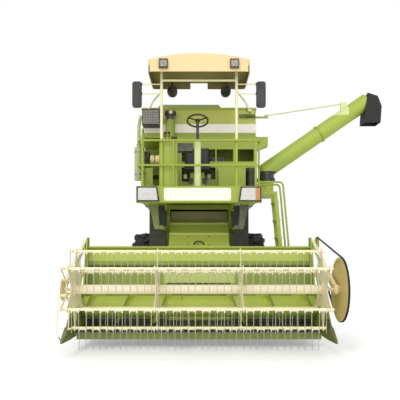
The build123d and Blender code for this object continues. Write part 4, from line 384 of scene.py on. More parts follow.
BY_NODE = {
    "canopy": enamel(
        "canopy enamel", "#EFD89F", "#EACE92", dust_share=0.08,
        # The inside is olive-brown: an olive tint darkened as painted shade under and inside the canopy.
        patches=[("#857B45", inside, (-774, -1869, None), (774, -991, 4251.5))],
    ),
    "canopy_frame": enamel(
        "canopy post enamel", PALE_PAINT, PALE_TONE, dust_share=0.08,
        patches=[(GREEN_PAINT, inside, OPEN, (None, None, 3150))],
    ),
    "mirrors": enamel(
        "mirror enamel", PALE_PAINT, PALE_TONE, dust_share=0.1,
        patches=[
            ("#1C1C1D", inside, (MIRROR_INNER, None, None), OPEN),
            ("#1C1C1D", inside, OPEN, (-MIRROR_INNER, None, None)),
        ],
    ),
    "engine": enamel(
        "engine enamel", "#2B2E25", "#1F211B", dust_share=0.25, roughness=0.5,
        patches=[("#F3E3A2", inside, (-865, -690, 2930), (-695, -510, None))],
    ),
    "side_drives": enamel(
        "pulley enamel", CREAM_PAINT, "#E2CC90", dust_share=0.25,
        patches=[
            ("#1B1B1A", inside, (BELT_BAND[0], None, None), (BELT_BAND[1], None, None)),
            ("#1B1B1A", inside, (-BELT_BAND[1], None, None), (-BELT_BAND[0], None, None)),
        ],
    ),
    "unloader_tube": enamel(
        "unloading tube enamel", "#A9BC40", "#98AB36",
        patches=[
            (BLACK_PAINT, inside, (1000, -480, 2700), (1400, -120, 2845)),
            ("#D6DD98", inside, (1190, None, 3860), (2700, None, None)),
        ],
    ),
    "header_auger": enamel(
        "auger enamel", "#C2D24E", "#B4C445", dust_share=0.2,
        patches=[("#4B4E36", beyond, AUGER_Y, AUGER_Z, 262)],
    ),
    "reel_shaft": enamel(
        "reel drive enamel", REEL_PAINT, REEL_TONE, dust_share=0.08,
        patches=[("#DECB84", inside, (1820, None, None), OPEN)],
    ),
    "exhaust": enamel(
        "exhaust enamel", "#CBD59A", "#B2BB80", dust="#8C6F4C", dust_share=0.35, roughness=0.5,
        patches=[("#2B2622", inside, (-1020, None, None), (None, None, 2850))],
    ),
    "lamps": on_black(
        "lamp housing enamel", 0.36, ("#746A5C", inside, (None, None, 4180), (None, -1870, None))
    ),
    "air_intakes": on_black(
        "air intake enamel", 0.45, (GREEN_TONE, inside, (-620, None, None), (-380, None, 3700))
    ),
    "controls": on_green(
        "control enamel",
        ("#CCD492", inside, (-76, None, None), (31, None, CONSOLE_TOP + 21)),
        (BLACK_PAINT, inside, (-335, None, CONSOLE_TOP + 21), OPEN),
        (BLACK_PAINT, inside, (None, None, CONSOLE_TOP + 0.2), (-335, None, None)),
        ("#3B3E30", inside, (-340, None, 2988), (-94, None, 3115)),
    ),
    "unloader_turret": on_green(
        "auger turret enamel", (BLACK_PAINT, inside, (1050, None, 2655), (None, None, 2705))
    ),
    "deck_boxes": on_green("deck box enamel", (BLACK_PAINT, inside, (800, None, None), OPEN)),
    "fuel_tank": on_green("fuel tank enamel", (BLACK_PAINT, inside, (None, None, 1806), OPEN)),
    "header_sides": on_green(
        "header end enamel",
        ("#6B7238", inside, OPEN, (None, -2300, 470)),
        ("#EEF0CE", inside, OPEN, (-1850, None, None)),
    ),
    "header_trough": on_green(
        "header enamel",
        ("#7F8A3C", inside, OPEN, (None, -2285, 255)),
        # Painted shade: the worn floor under the auger and reel is darkened.
        ("#454A33", inside, (None, -2284, 240), (None, -1500, 330)),
        # Painted light and shade on the rear wall: darker below, a painted shadow under the rib, brighter
        # above.
        ("#96A438", inside, (None, -1475, 420), (None, None, 1130)),
        ("#4F5E22", inside, (None, -1500, 1140), (None, None, 1184)),
        ("#8C9C38", inside, (None, -1500, 1184), (None, None, 1244)),
        ("#BAC850", inside, (None, -1475, 1244), (None, None, 1425)),
        ("#C9D270", inside, (-562, -1466, 892), (582, -1460, 1048)),
    ),
    "feeder_house": on_green(
        "feeder enamel",
        # Painted shade on the feeder's top under the deck, and painted light, lighter towards the front,
        # below it.
        ("#8A8649", inside, (-517, -500, 1700), (517, None, None)),
        ("#A9B548", inside, (-517, -700, None), (517, -500, None)),
        ("#CAD660", inside, (-517, None, None), (517, -700, None)),
    ),
    "platform_deck": on_green(
        "deck enamel",
        # Painted shade on the deck's sheets beside the feeder, under the deck.
        ("#50563A", inside, (450, None, None), (900, -1200, 2154)),
        ("#6F7A34", inside, (-900, None, None), (-450, -1200, 2154)),
    ),
    "grain_tank": on_green(
        "tank enamel",
        # Painted light: the tank's front above the stripe is painted lighter against the canopy's shadow on
        # it.
        ("#BFC353", inside, (None, None, 3664), (None, -555, 3950)),
        ("#93A56B", inside, (None, None, 3950.2), OPEN),
    ),
}
print("patched enamels", len(BY_NODE))

# %% [markdown]
# Every solid that keeps its own shape gets its finish here: the patched enamels and the metals by node, and
# the rest by the record's material slots. The reel's six bats share one kind of finish, whose steel starts
# just below each bat's tube.

# %% Finish the solids
BY_SLOT = {
    "green_enamel": GREEN, "cream_enamel": CREAM, "black_steel": BLACK, "bare_steel": STEEL,
    "tyre_rubber": TYRE, "black_rubber": RUBBER, "seat_vinyl": VINYL,
}
BY_NODE.update({
    "unloader_spout": SPOUT, "straw_walkers": GALVANISED, "sieve_shoe": GALVANISED, "cutter_bar": CAST,
    "lift_rods": CHROME, "reel_rods": CHROME, "reel_frame": REEL_CREAM, "reel_arms": REEL_CREAM,
    "reel_eccentric": REEL_CREAM,
})
BAT_COUNT = 6
BAT_R = 18
TINE_LENGTH = 300
for k in range(1, BAT_COUNT + 1):
    tube_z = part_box(f"reel_bat_{k}")[0].z * 1000 + TINE_LENGTH
    BY_NODE[f"reel_bat_{k}"] = enamel(
        f"reel bat {k} enamel", "#FAF1C6", "#F0E4B0", dust_share=0.06,
        patches=[("#A7A69C", inside, OPEN, (None, None, tube_z - BAT_R - 1))],
    )
slots = {row["node"]: row["material_slot"] for row in frame["record"]["subparts"]}
for name, obj in frame["nodes"].items():
    obj.data.materials.clear()
    obj.data.materials.append(BY_NODE.get(name, BY_SLOT[slots[name]]))
print("finished", len(slots))

# %% [markdown]
# The small forms are built in mesh code from four shapes: a flat outline given depth, a box, a form turned
# on a lathe, and a rounded panel. Each adds to a mesh that is being built, so one piece can hold a whole
# row of bolts. A piece is finished by one function, which faces it outward, gives it its paint, and puts it
# on its body.


def slab(mesh, corners, depth):
    """A flat outline given depth: its corners in order, and the vector that it is pushed along."""
    near = [mesh.verts.new(corner) for corner in corners]
    far = [mesh.verts.new(corner + depth) for corner in corners]
    mesh.faces.new(near)
    mesh.faces.new(far[::-1])
    for k, corner in enumerate(near):
        after = (k + 1) % len(near)
        mesh.faces.new((corner, far[k], far[after], near[after]))


def strip(mesh, corner, side, up, depth):
    """A four-sided plate from one corner along two sides, given depth."""
    slab(mesh, [corner, corner + side, corner + side + up, corner + up], depth)


def box(mesh, low, high):
    """A box between two corners."""
    foot = ((low.x, low.y), (high.x, low.y), (high.x, high.y), (low.x, high.y))
    slab(mesh, [Vector((x, y, low.z)) for x, y in foot], Z * (high.z - low.z))


def around(angle, first, second):
    """The direction at an angle from a first direction towards a second."""
    return first * cos(angle) + second * sin(angle)


def turned(mesh, start, along, profile, sides=16):
    """A lathe form: (distance, radius) pairs along a line from a start, in metres."""
    along = along.normalized()
    across = along.orthogonal().normalized()
    other = along.cross(across)
    rings = []
    for distance, radius in profile:
        middle = start + along * distance
        turns = [2 * pi * k / sides for k in range(sides)]
        rings.append([mesh.verts.new(middle + around(angle, across, other) * radius) for angle in turns])
    for low, high in zip(rings, rings[1:]):
        for k in range(sides):
            after = (k + 1) % sides
            mesh.faces.new((low[k], low[after], high[after], high[k]))
    mesh.faces.new(rings[0][::-1])
    mesh.faces.new(rings[-1])


def rounded_outline(centre, across, up, width, height, corner, steps=5):
    """The places along a rectangle with rounded corners, in order."""
    places = []
    for turn, (sx, sy) in enumerate(((1, 1), (-1, 1), (-1, -1), (1, -1))):
        for step in range(steps + 1):
            angle = pi / 2 * (turn + step / steps)
            x = sx * (width / 2 - corner) + corner * cos(angle)
            y = sy * (height / 2 - corner) + corner * sin(angle)
            places.append(centre + across * x + up * y)
    return places


def panel(mesh, centre, across, up, width, height, corner, depth):
    """A flat panel with rounded corners, given depth along the third direction."""
    slab(mesh, rounded_outline(centre, across.normalized(), up.normalized(), width, height, corner), depth)


def finished(name, mesh, material, body="chassis", bevel=0.0, smooth=False):
    """Turns a mesh that was built into a piece with its paint, on its body."""
    bmesh.ops.recalc_face_normals(mesh, faces=mesh.faces)
    data = bpy.data.meshes.new(name)
    mesh.to_mesh(data)
    mesh.free()
    data.materials.append(material)
    for polygon in data.polygons:
        polygon.use_smooth = smooth
    piece = bpy.data.objects.new(name, data)
    bpy.context.collection.objects.link(piece)
    if bevel:
        rounded = piece.modifiers.new("rounded edges", "BEVEL")
        rounded.width = bevel
        rounded.segments = 2
        rounded.limit_method = "ANGLE"
    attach(piece, body)
    print(name, len(data.polygons), "faces on", body)


# %% [markdown]
# Sheet metal is held by hexagon bolts. One bolt is a washer and a six-sided head with a chamfered top. Rows
# of them run along the seams: a row is a list of places and the direction that the heads stand out.

# %% Bolts
def bolt(mesh, place, out, head=0.009):
    """A washer and a hexagon head of a given half width, standing out from a face."""
    turned(mesh, place - out * 0.001, out, [(0, head * 1.45), (0.0035, head * 1.45)], sides=12)
    hexagon = [(0.003, head * 1.12), (head * 0.8, head * 1.12), (head * 1.05, head * 0.85)]
    turned(mesh, place, out, hexagon, sides=6)


def row(start, end, count):
    """Evenly spaced places from a start to an end."""
    return [start + (end - start) * (k / (count - 1)) for k in range(count)]


def bolts(name, places, out, material, body="chassis", head=0.009):
    """One piece of bolts at a list of places, all facing the same way."""
    mesh = bmesh.new()
    for place in places:
        bolt(mesh, place, out, head)
    finished(name, mesh, material, body)


# %% [markdown]
# The headlights are trapezoids in black bezels. Behind each glass lies an aluminised reflector with a bulb
# bowl in it, and the left lamp's outer end is an amber turn lamp. The solids leave a shallow recess for
# them. The recess's floor is 37.3 mm in front of the fascia and its edge another 8 mm, so glass and
# reflector share those 8 mm.

# %% Headlights
DECK_HALF = 980
FASCIA_Y = -1720
RECESS_Y = FASCIA_Y - 37.3
GLASS_Y = RECESS_Y - 3.6
LAMP_OUTER = DECK_HALF - 32
LAMP_INNER = (DECK_HALF - 310, DECK_HALF - 339)
LAMP_Z = (2196, 2387)
AMBER_W = 72
BOWL = [(0, 0.052), (0.002, 0.05), (0.0015, 0.03), (0.003, 0.012)]


def pane(mesh, side, outer, top_inner, low_inner, y, depth):
    """A headlight's pane between its upright outer edge and its inner one, forward from a Y."""
    low, high = LAMP_Z
    corners = ((outer, low), (outer, high), (top_inner, high), (low_inner, low))
    slab(mesh, [at(side * x, y, z) for x, z in corners], -Y * depth)


for side, label in SIDES:
    mesh = bmesh.new()
    pane(mesh, side, LAMP_OUTER, *LAMP_INNER, RECESS_Y - 0.2, 0.0012)
    for x in (LAMP_OUTER - 235, LAMP_OUTER - 115):
        turned(mesh, at(side * x, RECESS_Y - 1, sum(LAMP_Z) / 2), -Y, BOWL, sides=20)
    finished(f"headlight_reflector_{label}", mesh, REFLECTOR)
    mesh = bmesh.new()
    clear_outer = LAMP_OUTER - AMBER_W if side > 0 else LAMP_OUTER
    pane(mesh, side, clear_outer, *LAMP_INNER, GLASS_Y, 0.004)
    finished(f"headlight_glass_{label}", mesh, CLEAR_GLASS, bevel=0.001)
    if side > 0:
        mesh = bmesh.new()
        pane(mesh, side, LAMP_OUTER, clear_outer + 1, clear_outer + 1, GLASS_Y, 0.004)
        finished("turn_lamp_glass", mesh, AMBER_GLASS, bevel=0.001)

# %% [markdown]
# The canopy's square lamps have a round reflector behind a square glass, and the two round lamps under its
# rear light the tank behind, so their glass faces back.

# %% Canopy lamps
CANOPY_FRONT_Y = -1880
CANOPY_REAR_Y = -980
for side, label in SIDES:
    front = at(side * 543.5, CANOPY_FRONT_Y - 40.3, 4262.5)
    mesh = bmesh.new()
    panel(mesh, front - Y * 0.0005, X, Z, 0.106, 0.104, 0.01, -Y * 0.002)
    turned(mesh, front, -Y, [(0.001, 0.046), (0.005, 0.044), (0.0035, 0.02), (0.006, 0.012)], sides=24)
    finished(f"square_lamp_reflector_{label}", mesh, DULL_REFLECTOR)
    mesh = bmesh.new()
    panel(mesh, front - Y * 0.007, X, Z, 0.108, 0.106, 0.01, -Y * 0.004)
    finished(f"square_lamp_glass_{label}", mesh, CLEAR_GLASS, bevel=0.0008)
    mesh = bmesh.new()
    for x, z, width, height in ((0, 61, 134, 12), (0, -61, 134, 12), (61, 0, 12, 112), (-61, 0, 12, 112)):
        centre = front + X * x / 1000 + Z * z / 1000
        half = X * width / 2000 + Z * height / 2000
        box(mesh, centre - half - Y * 0.014, centre + half)
    finished(f"square_lamp_bezel_{label}", mesh, CAST, bevel=0.002)
    back = at(side * 450, CANOPY_REAR_Y - 30, 4090)
    mesh = bmesh.new()
    dome = [(0, 0.076), (0.002, 0.076), (0.0045, 0.06), (0.006, 0.03), (0.0065, 0.004)]
    turned(mesh, back, Y, dome, sides=28)
    finished(f"work_lamp_glass_{label}", mesh, CLEAR_GLASS, smooth=True)
    mesh = bmesh.new()
    turned(mesh, back - Y * 0.002, Y, [(0, 0.086), (0.01, 0.087), (0.011, 0.084), (0.01, 0.077)], 28)
    finished(f"work_lamp_ring_{label}", mesh, CHROME, smooth=True)

# %% [markdown]
# A mirror is a black moulded housing with glass facing back, towards the seat. The glass is a thin rounded
# panel a little smaller than the housing, on its rear.

# %% Mirrors
MIRROR_Y = -1635.7
for side, label in SIDES:
    mesh = bmesh.new()
    back = at(side * 975, MIRROR_Y + 14.2, 3865)
    panel(mesh, back, X, Z, 0.126, 0.386, 0.032, Y * 0.003)
    finished(f"mirror_glass_{label}", mesh, MIRROR, bevel=0.0008)
    mesh = bmesh.new()
    for z in (3880, 4030):
        start = at(side * 905, MIRROR_Y, z) - Z * 0.02
        box(mesh, start - X * 0.012 - Y * 0.022, start + X * 0.012 + Y * 0.012 + Z * 0.04)
        bolt(mesh, start - Y * 0.022 + Z * 0.02, -Y, 0.006)
    finished(f"mirror_clamps_{label}", mesh, BLACK, bevel=0.002)

# %% [markdown]
# A stripe of white film is stuck over the tank's green, across the front and back along both sides. Film is
# much thinner than the 1 mm used here, which keeps it clear of the sheet in every view. A folded rim closes
# the top edge.

# %% Tank stripe and rim
TANK_HALF = 1010
TANK_FRONT_Y = -560
TANK_REAR_Y = 960
TANK_TOP_Z = 3950
STRIPE_Z = (3505, 3662)
FILM = 1
RIM_OUT = 12
RIM_LOW_Z = TANK_TOP_Z - 40
mesh = bmesh.new()
box(mesh, at(-TANK_HALF, TANK_FRONT_Y - FILM, STRIPE_Z[0]), at(TANK_HALF, TANK_FRONT_Y + 0.2, STRIPE_Z[1]))
for side in (-1, 1):
    low_x, high_x = sorted((side * (TANK_HALF - 0.2), side * (TANK_HALF + FILM)))
    box(mesh, at(low_x, TANK_FRONT_Y, STRIPE_Z[0]), at(high_x, TANK_REAR_Y, STRIPE_Z[1]))
STRIPE_FILM = enamel("white stripe film", "#FDF8EA", "#F8F2E0", dust_share=0.04, roughness=0.3)
finished("tank_stripe", mesh, STRIPE_FILM)
mesh = bmesh.new()
rim_x = TANK_HALF + RIM_OUT
for low_y, high_y in ((TANK_FRONT_Y - 14, TANK_FRONT_Y - 5.2), (TANK_REAR_Y, TANK_REAR_Y + RIM_OUT)):
    box(mesh, at(-rim_x, low_y, RIM_LOW_Z), at(rim_x, high_y, TANK_TOP_Z))
for side in (-1, 1):
    low_x, high_x = sorted((side * TANK_HALF, side * rim_x))
    box(mesh, at(low_x, TANK_FRONT_Y - 5, RIM_LOW_Z), at(high_x, TANK_REAR_Y, TANK_TOP_Z))
finished("tank_rim", mesh, GREEN, bevel=0.003)

# %% [markdown]
# The flap over the tank's front is a flat plate, bolted along its lower edge. Bolts also follow the tank's
# front corners and its side and rear seams. A small bracket at the flap's left end carries the stay of the
# unloading tube.

# %% Tank bolts and the stay's bracket
front_places = row(at(-470, TANK_FRONT_Y - 5, 3690), at(640, TANK_FRONT_Y - 5, 3690), 9)
for x in (-990, 990):
    front_places += row(at(x, TANK_FRONT_Y, 3700), at(x, TANK_FRONT_Y, 3880), 3)
bolts("tank_front_bolts", front_places, -Y, STEEL)
for side, label in SIDES:
    side_places = []
    for y in (TANK_FRONT_Y + 30, TANK_REAR_Y - 30):
        side_places += row(at(side * TANK_HALF, y, 3440), at(side * TANK_HALF, y, 3880), 5)
    for y, top_z in ((TANK_REAR_Y - 30, 3300), (-50, 3250)):
        side_places += row(at(side * TANK_HALF, y, 2300), at(side * TANK_HALF, y, top_z), 7)
    bolts(f"tank_side_bolts_{label}", side_places, X * side, STEEL)
rear_places = row(at(-980, TANK_REAR_Y, 2280), at(980, TANK_REAR_Y, 2280), 14)
bolts("tank_rear_bolts", rear_places, Y, STEEL)
mesh = bmesh.new()
box(mesh, at(715, TANK_FRONT_Y - 10, 3765), at(1004, TANK_FRONT_Y - 0.2, 3835))
box(mesh, at(715, TANK_FRONT_Y - 44, 3765), at(1004, TANK_FRONT_Y - 10, 3773))
turned(mesh, at(830, TANK_FRONT_Y - 24, 3806), X, [(0, 0.02), (0.17, 0.02)], 14)
finished("stay_bracket", mesh, DARK_GREEN, bevel=0.002)

# %% [markdown]
# Air for the radiator is drawn through a box covered in woven wire. The weave is real wire here: upright
# and level wires 6 mm thick on a 28 mm pitch, twice the real size so that they show, in a folded steel
# frame. The radiator's own fins stand in the engine bay's right side.

# %% Radiator screen
SCREEN_X = (-985, -675)
SCREEN_Y = -820
SCREEN_Z = (3590, 3860)
WIRE_PITCH = 28
WIRE = 3
mesh = bmesh.new()
for x in range(SCREEN_X[0] + 22, SCREEN_X[1] - 20, WIRE_PITCH):
    box(mesh, at(x - WIRE, SCREEN_Y - 4, SCREEN_Z[0] + 15), at(x + WIRE, SCREEN_Y - 1, SCREEN_Z[1] - 15))
for z in range(SCREEN_Z[0] + 22, SCREEN_Z[1] - 20, WIRE_PITCH):
    box(mesh, at(SCREEN_X[0] + 15, SCREEN_Y - 6, z - WIRE), at(SCREEN_X[1] - 15, SCREEN_Y - 3, z + WIRE))
finished("screen_wires", mesh, STEEL)
mesh = bmesh.new()
for z in (SCREEN_Z[0], SCREEN_Z[1] - 18):
    box(mesh, at(SCREEN_X[0], SCREEN_Y - 8, z), at(SCREEN_X[1], SCREEN_Y + 1, z + 18))
for x in (SCREEN_X[0], SCREEN_X[1] - 18):
    box(mesh, at(x, SCREEN_Y - 8, SCREEN_Z[0] + 18), at(x + 18, SCREEN_Y + 1, SCREEN_Z[1] - 18))
finished("screen_frame", mesh, CAST, bevel=0.003)
mesh = bmesh.new()
for z in range(2290, 3110, 26):
    box(mesh, at(-998, -585, z), at(-990, -305, z + 4))
for y in range(-575, -310, 44):
    box(mesh, at(-994, y, 2285), at(-989, y + 14, 3115))
finished("radiator_fins", mesh, CAST)

# %% [markdown]
# The air cleaner's cap is held by toggle clips, and a milky bowl on its front shows how much chaff it has
# caught.

# %% Air cleaner trim
CLEANER_X = -500
CLEANER_Y = -670
mesh = bmesh.new()
for angle in (215, 325):
    out = around(radians(angle), X, Y)
    width = out.cross(Z) * 0.02
    strip(mesh, at(CLEANER_X, CLEANER_Y, 3700) + out * 0.081 - width / 2, width, Z * 0.08, out * 0.006)
band = [(0, 0.0805), (0.003, 0.084), (0.018, 0.084), (0.021, 0.0805)]
turned(mesh, at(CLEANER_X, CLEANER_Y, 3690), Z, band, 28)
finished("cleaner_clips", mesh, STEEL, bevel=0.001)
mesh = bmesh.new()
turned(
    mesh, at(CLEANER_X + 8, CLEANER_Y - 99, 3818), -Y + Z * 0.3,
    [(0, 0.034), (0.008, 0.034), (0.022, 0.028), (0.028, 0.012)], 24,
)
finished("cleaner_bowl", mesh, NYLON, smooth=True)

# %% [markdown]
# The engine is one block in the solids. What shows through the bay's windows is dressed onto its front: a
# ribbed rocker cover, two spin-on filters, the injection pump, and an exhaust manifold, all in worn dark
# iron.

# %% Engine dress
ENGINE_FRONT_Y = -640
FILTERS_X = (-230, 170)
mesh = bmesh.new()
for k in range(4):
    low_x = -470 + 225 * k
    panel(mesh, at(low_x + 100, ENGINE_FRONT_Y, 3000), X, Z, 0.19, 0.1, 0.02, -Y * 0.03)
    plug = [(0, 0.03), (0.03, 0.03), (0.034, 0.024)]
    turned(mesh, at(low_x + 100, ENGINE_FRONT_Y - 20, 2860), -Y, plug, 14)
for x in FILTERS_X:
    turned(
        mesh, at(x, ENGINE_FRONT_Y - 45, 2620), Z,
        [(0, 0.03), (0.006, 0.042), (0.15, 0.042), (0.16, 0.034), (0.17, 0.03), (0.185, 0.03)], 20,
    )
panel(mesh, at(360, ENGINE_FRONT_Y, 2640), X, Z, 0.13, 0.2, 0.02, -Y * 0.05)
turned(mesh, at(-480, ENGINE_FRONT_Y - 38, 2900), X, [(0, 0.028), (0.9, 0.028)], 12)
finished("engine_front_parts", mesh, CAST, bevel=0.002)
mesh = bmesh.new()
for x in FILTERS_X:
    turned(mesh, at(x, ENGINE_FRONT_Y - 45, 2665), Z, [(0, 0.0425), (0.08, 0.0425)], 20)
finished("filter_bands", mesh, CREAM)

# %% [markdown]
# A blank white plate sits in the middle of the fascia, pressed with rounded corners and held by four
# screws. Under it runs the row of bolts that holds the board.

# %% Fascia plate
PLATE_X = (-546, 499)
PLATE_Z = (2190, 2388)
mesh = bmesh.new()
middle = at((PLATE_X[0] + PLATE_X[1]) / 2, FASCIA_Y + 0.5, (PLATE_Z[0] + PLATE_Z[1]) / 2)
width, height = (PLATE_X[1] - PLATE_X[0]) / 1000, (PLATE_Z[1] - PLATE_Z[0]) / 1000
panel(mesh, middle, X, Z, width, height, 0.022, -Y * 0.0035)
PLATE_PAINT = enamel("white plate enamel", "#FBF8E6", "#F4EFD6", dust_share=0.05, roughness=0.28)
finished("fascia_plate", mesh, PLATE_PAINT, bevel=0.0012)
screws = [at(x, FASCIA_Y - 3, z) for x in (-526, 479) for z in (2210, 2368)]
bolts("fascia_plate_screws", screws, -Y, STEEL, head=0.005)
bolts("fascia_bolts", row(at(-940, FASCIA_Y, 2170), at(940, FASCIA_Y, 2170), 17), -Y, GREEN, head=0.007)

# %% [markdown]
# Three round gauges are set in the instrument box, and two pedals stand beside the column. A gauge is a
# chromed ring round a black face with a pale needle and nine ticks, and it carries no words.

# %% Gauges and pedals
BOX_REAR_Y = -1410
PEDALS_X = (-130, 90)
rings, faces, marks = bmesh.new(), bmesh.new(), bmesh.new()
for x in (-292, -218, -144):
    centre = at(x, BOX_REAR_Y, 3052)
    turned(rings, centre, Y, [(0, 0.034), (0.008, 0.034), (0.01, 0.031), (0.006, 0.029)], 24)
    turned(faces, centre, Y, [(0.001, 0.0295), (0.0065, 0.0295)], 24)
    for k in range(9):
        out = around(radians(-30 + 30 * k), X, Z)
        strip(marks, centre + Y * 0.0066 + out * 0.021, out * 0.005, Y.cross(out) * 0.001, Y * 0.0004)
    lean = around(radians(120), X, Z)
    foot = centre + Y * 0.0067
    tip = foot + lean * 0.018
    slab(marks, [foot, tip, tip + Y.cross(lean) * 0.0014], Y * 0.0005)
finished("gauge_rings", rings, CHROME)
finished("gauge_faces", faces, BLACK)
finished("gauge_marks", marks, NYLON)
mesh = bmesh.new()
for x in PEDALS_X:
    panel(mesh, at(x, -1455, 2530), X, Y * 0.5 + Z, 0.075, 0.1, 0.012, -Y * 0.012 + Z * 0.006)
    top, foot = at(x - 8, -1462, 2520), at(x - 8, -1520, 2401)
    strip(mesh, top, X * 0.016, foot - top, -Y * 0.012)
finished("pedals", mesh, CAST, bevel=0.002)
mesh = bmesh.new()
for x in PEDALS_X:
    for k in range(5):
        place = at(x, -1455 + 4 * (2 * k - 4), 2530 + 8 * (2 * k - 4))
        box(mesh, place - X * 0.03 - Z * 0.003, place + X * 0.03 + Y * 0.008 + Z * 0.003)
finished("pedal_treads", mesh, RUBBER)

# %% [markdown]
# A tractor seat's cushion and back are foam under stretched vinyl, so they swell between their seams. Each
# starts as a block a little smaller than its solid, is remeshed to 6 mm cells, and is blown up by Blender's
# cloth with pressure and no gravity. No point may move farther than a cap, so that the pad stays in its
# solid's place. The sewn channels and the piping come afterwards, because remeshing would wipe them out.

# %% Pad maker
PAD_FRAMES = 20


def blown(name, low, high, corner, cap):
    """A pad: a rounded block blown up by cloth pressure, no point moving more than the cap."""
    mesh = bmesh.new()
    box(mesh, low, high)
    data = bpy.data.meshes.new(name)
    mesh.to_mesh(data)
    mesh.free()
    pad = bpy.data.objects.new(name, data)
    bpy.context.collection.objects.link(pad)
    rounded = pad.modifiers.new("rounded", "BEVEL")
    rounded.width = corner
    rounded.segments = 4
    cells = pad.modifiers.new("cells", "REMESH")
    cells.mode = "VOXEL"
    cells.voxel_size = 0.006
    start = bpy.data.meshes.new_from_object(pad.evaluated_get(bpy.context.evaluated_depsgraph_get()))
    pad.modifiers.clear()
    pad.data = start
    before = [v.co.copy() for v in start.vertices]
    cloth = pad.modifiers.new("cloth", "CLOTH")
    cloth.settings.quality = 5
    cloth.settings.use_pressure = True
    cloth.settings.uniform_pressure_force = 4
    cloth.settings.effector_weights.gravity = 0
    cloth.point_cache.frame_start, cloth.point_cache.frame_end = 1, PAD_FRAMES
    for step in range(1, PAD_FRAMES + 1):
        bpy.context.scene.frame_set(step)
    moved = pad.evaluated_get(bpy.context.evaluated_depsgraph_get()).data
    after = [v.co.copy() for v in moved.vertices]
    pad.modifiers.clear()
    for vertex, old, new in zip(start.vertices, before, after):
        step = new - old
        vertex.co = old + step * min(1, cap / max(step.length, 1e-9))
    bpy.context.scene.frame_set(1)
    print(name, len(start.vertices), "points")
    return pad


def sewn(pad, axis, places, width, depth):
    """Presses sewn channels across a pad: grooves at places along an axis."""
    middle = sum((v.co for v in pad.data.vertices), Vector()) / len(pad.data.vertices)
    for vertex in pad.data.vertices:
        nearest = min(abs(vertex.co[axis] - place) for place in places)
        if nearest < width:
            share = (1 + cos(pi * nearest / width)) / 2
            inward = middle - vertex.co
            inward[axis] = 0
            vertex.co += inward.normalized() * depth * share


def padded_piece(pad):
    """Finishes a blown pad: smooth, subdivided once, given its vinyl and put on the chassis."""
    for polygon in pad.data.polygons:
        polygon.use_smooth = True
    pad.data.materials.clear()
    pad.data.materials.append(VINYL)
    finer = pad.modifiers.new("finer", "SUBSURF")
    finer.levels = finer.render_levels = 1
    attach(pad, "chassis")


# %% Seat
SEAT_MIDDLE = -30
cushion = blown("seat_cushion", at(-254, -1144, 2747), at(194, -796, 2829), 0.03, 0.011)
sewn(cushion, 0, [at(SEAT_MIDDLE + x, 0, 0).x for x in (-110, 0, 110)], 0.012, 0.006)
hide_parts("seat")
padded_piece(cushion)
back = blown("seat_back", at(-244, -862, 2850), at(184, -792, 3172), 0.026, 0.009)
sewn(back, 2, [at(0, 0, z).z for z in (2930, 3010, 3090)], 0.012, 0.006)
padded_piece(back)

# %% [markdown]
# Piping is a round cord sewn into a seam. It follows the pad's own outline: the loop is a rounded rectangle
# just outside the widest part of the pad, drawn as a bevelled curve.

# %% Piping
def piping(name, centre, across, up, width, height, corner, radius):
    """A closed round loop along a rounded rectangle."""
    data = bpy.data.curves.new(name, "CURVE")
    data.dimensions = "3D"
    data.bevel_depth = radius
    data.bevel_resolution = 2
    places = rounded_outline(centre, across, up, width, height, corner, steps=4)
    spline = data.splines.new("POLY")
    spline.points.add(len(places) - 1)
    for point, place in zip(spline.points, places):
        point.co = (*place, 1)
    spline.use_cyclic_u = True
    data.materials.append(RUBBER)
    piece = bpy.data.objects.new(name, data)
    bpy.context.collection.objects.link(piece)
    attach(piece, "chassis")
    print(name, len(places), "points")


piping("cushion_piping", at(SEAT_MIDDLE, -970, 2822), X, Y, 0.436, 0.336, 0.045, 0.004)
piping("back_piping", at(SEAT_MIDDLE, -857, 3011), X, Z, 0.416, 0.312, 0.04, 0.004)

# %% [markdown]
# Each wheel is held by a circle of nuts on the flat of its rim, and the hub ends in a pressed cap. The rims
# are dished towards the outside, so the nuts' flat lies a little farther out on the left wheels than on the
# right ones.

# %% Wheel nuts
for wheel, wheel_x, flats, y, z, circle, hub, hub_out, count in (
    ("front_wheel", 990, (8.9, -5.2), 0, 870, 155, 110, 39.8, 10),
    ("rear_wheel", 920, (24.5, 10.4), 3300, 450, 92, 70, 55.4, 8),
):
    for (side, label), flat in zip(SIDES, flats):
        out = X * side
        mesh = bmesh.new()
        for k in range(count):
            place = at(side * (wheel_x + flat), y, z) + around(2 * pi * k / count, Y, Z) * circle / 1000
            bolt(mesh, place, out, 0.013)
            turned(mesh, place, out, [(0.01, 0.008), (0.022, 0.008), (0.024, 0.006)], 10)
        finished(f"{wheel}_nuts_{label}", mesh, STEEL, f"{wheel}_{label}")
        mesh = bmesh.new()
        start = at(side * (wheel_x + hub_out), y, z)
        r = hub / 1000
        turned(mesh, start, out, [(0, r * 0.72), (0.012, r * 0.7), (0.02, r * 0.55), (0.024, r * 0.2)], 28)
        finished(f"{wheel}_cap_{label}", mesh, BLACK, f"{wheel}_{label}", smooth=True)

# %% [markdown]
# The knife behind the guards is a strip of triangular sections of hard steel, one to each guard. They are
# ground bright, lie flat on the guards and stop short of their points.

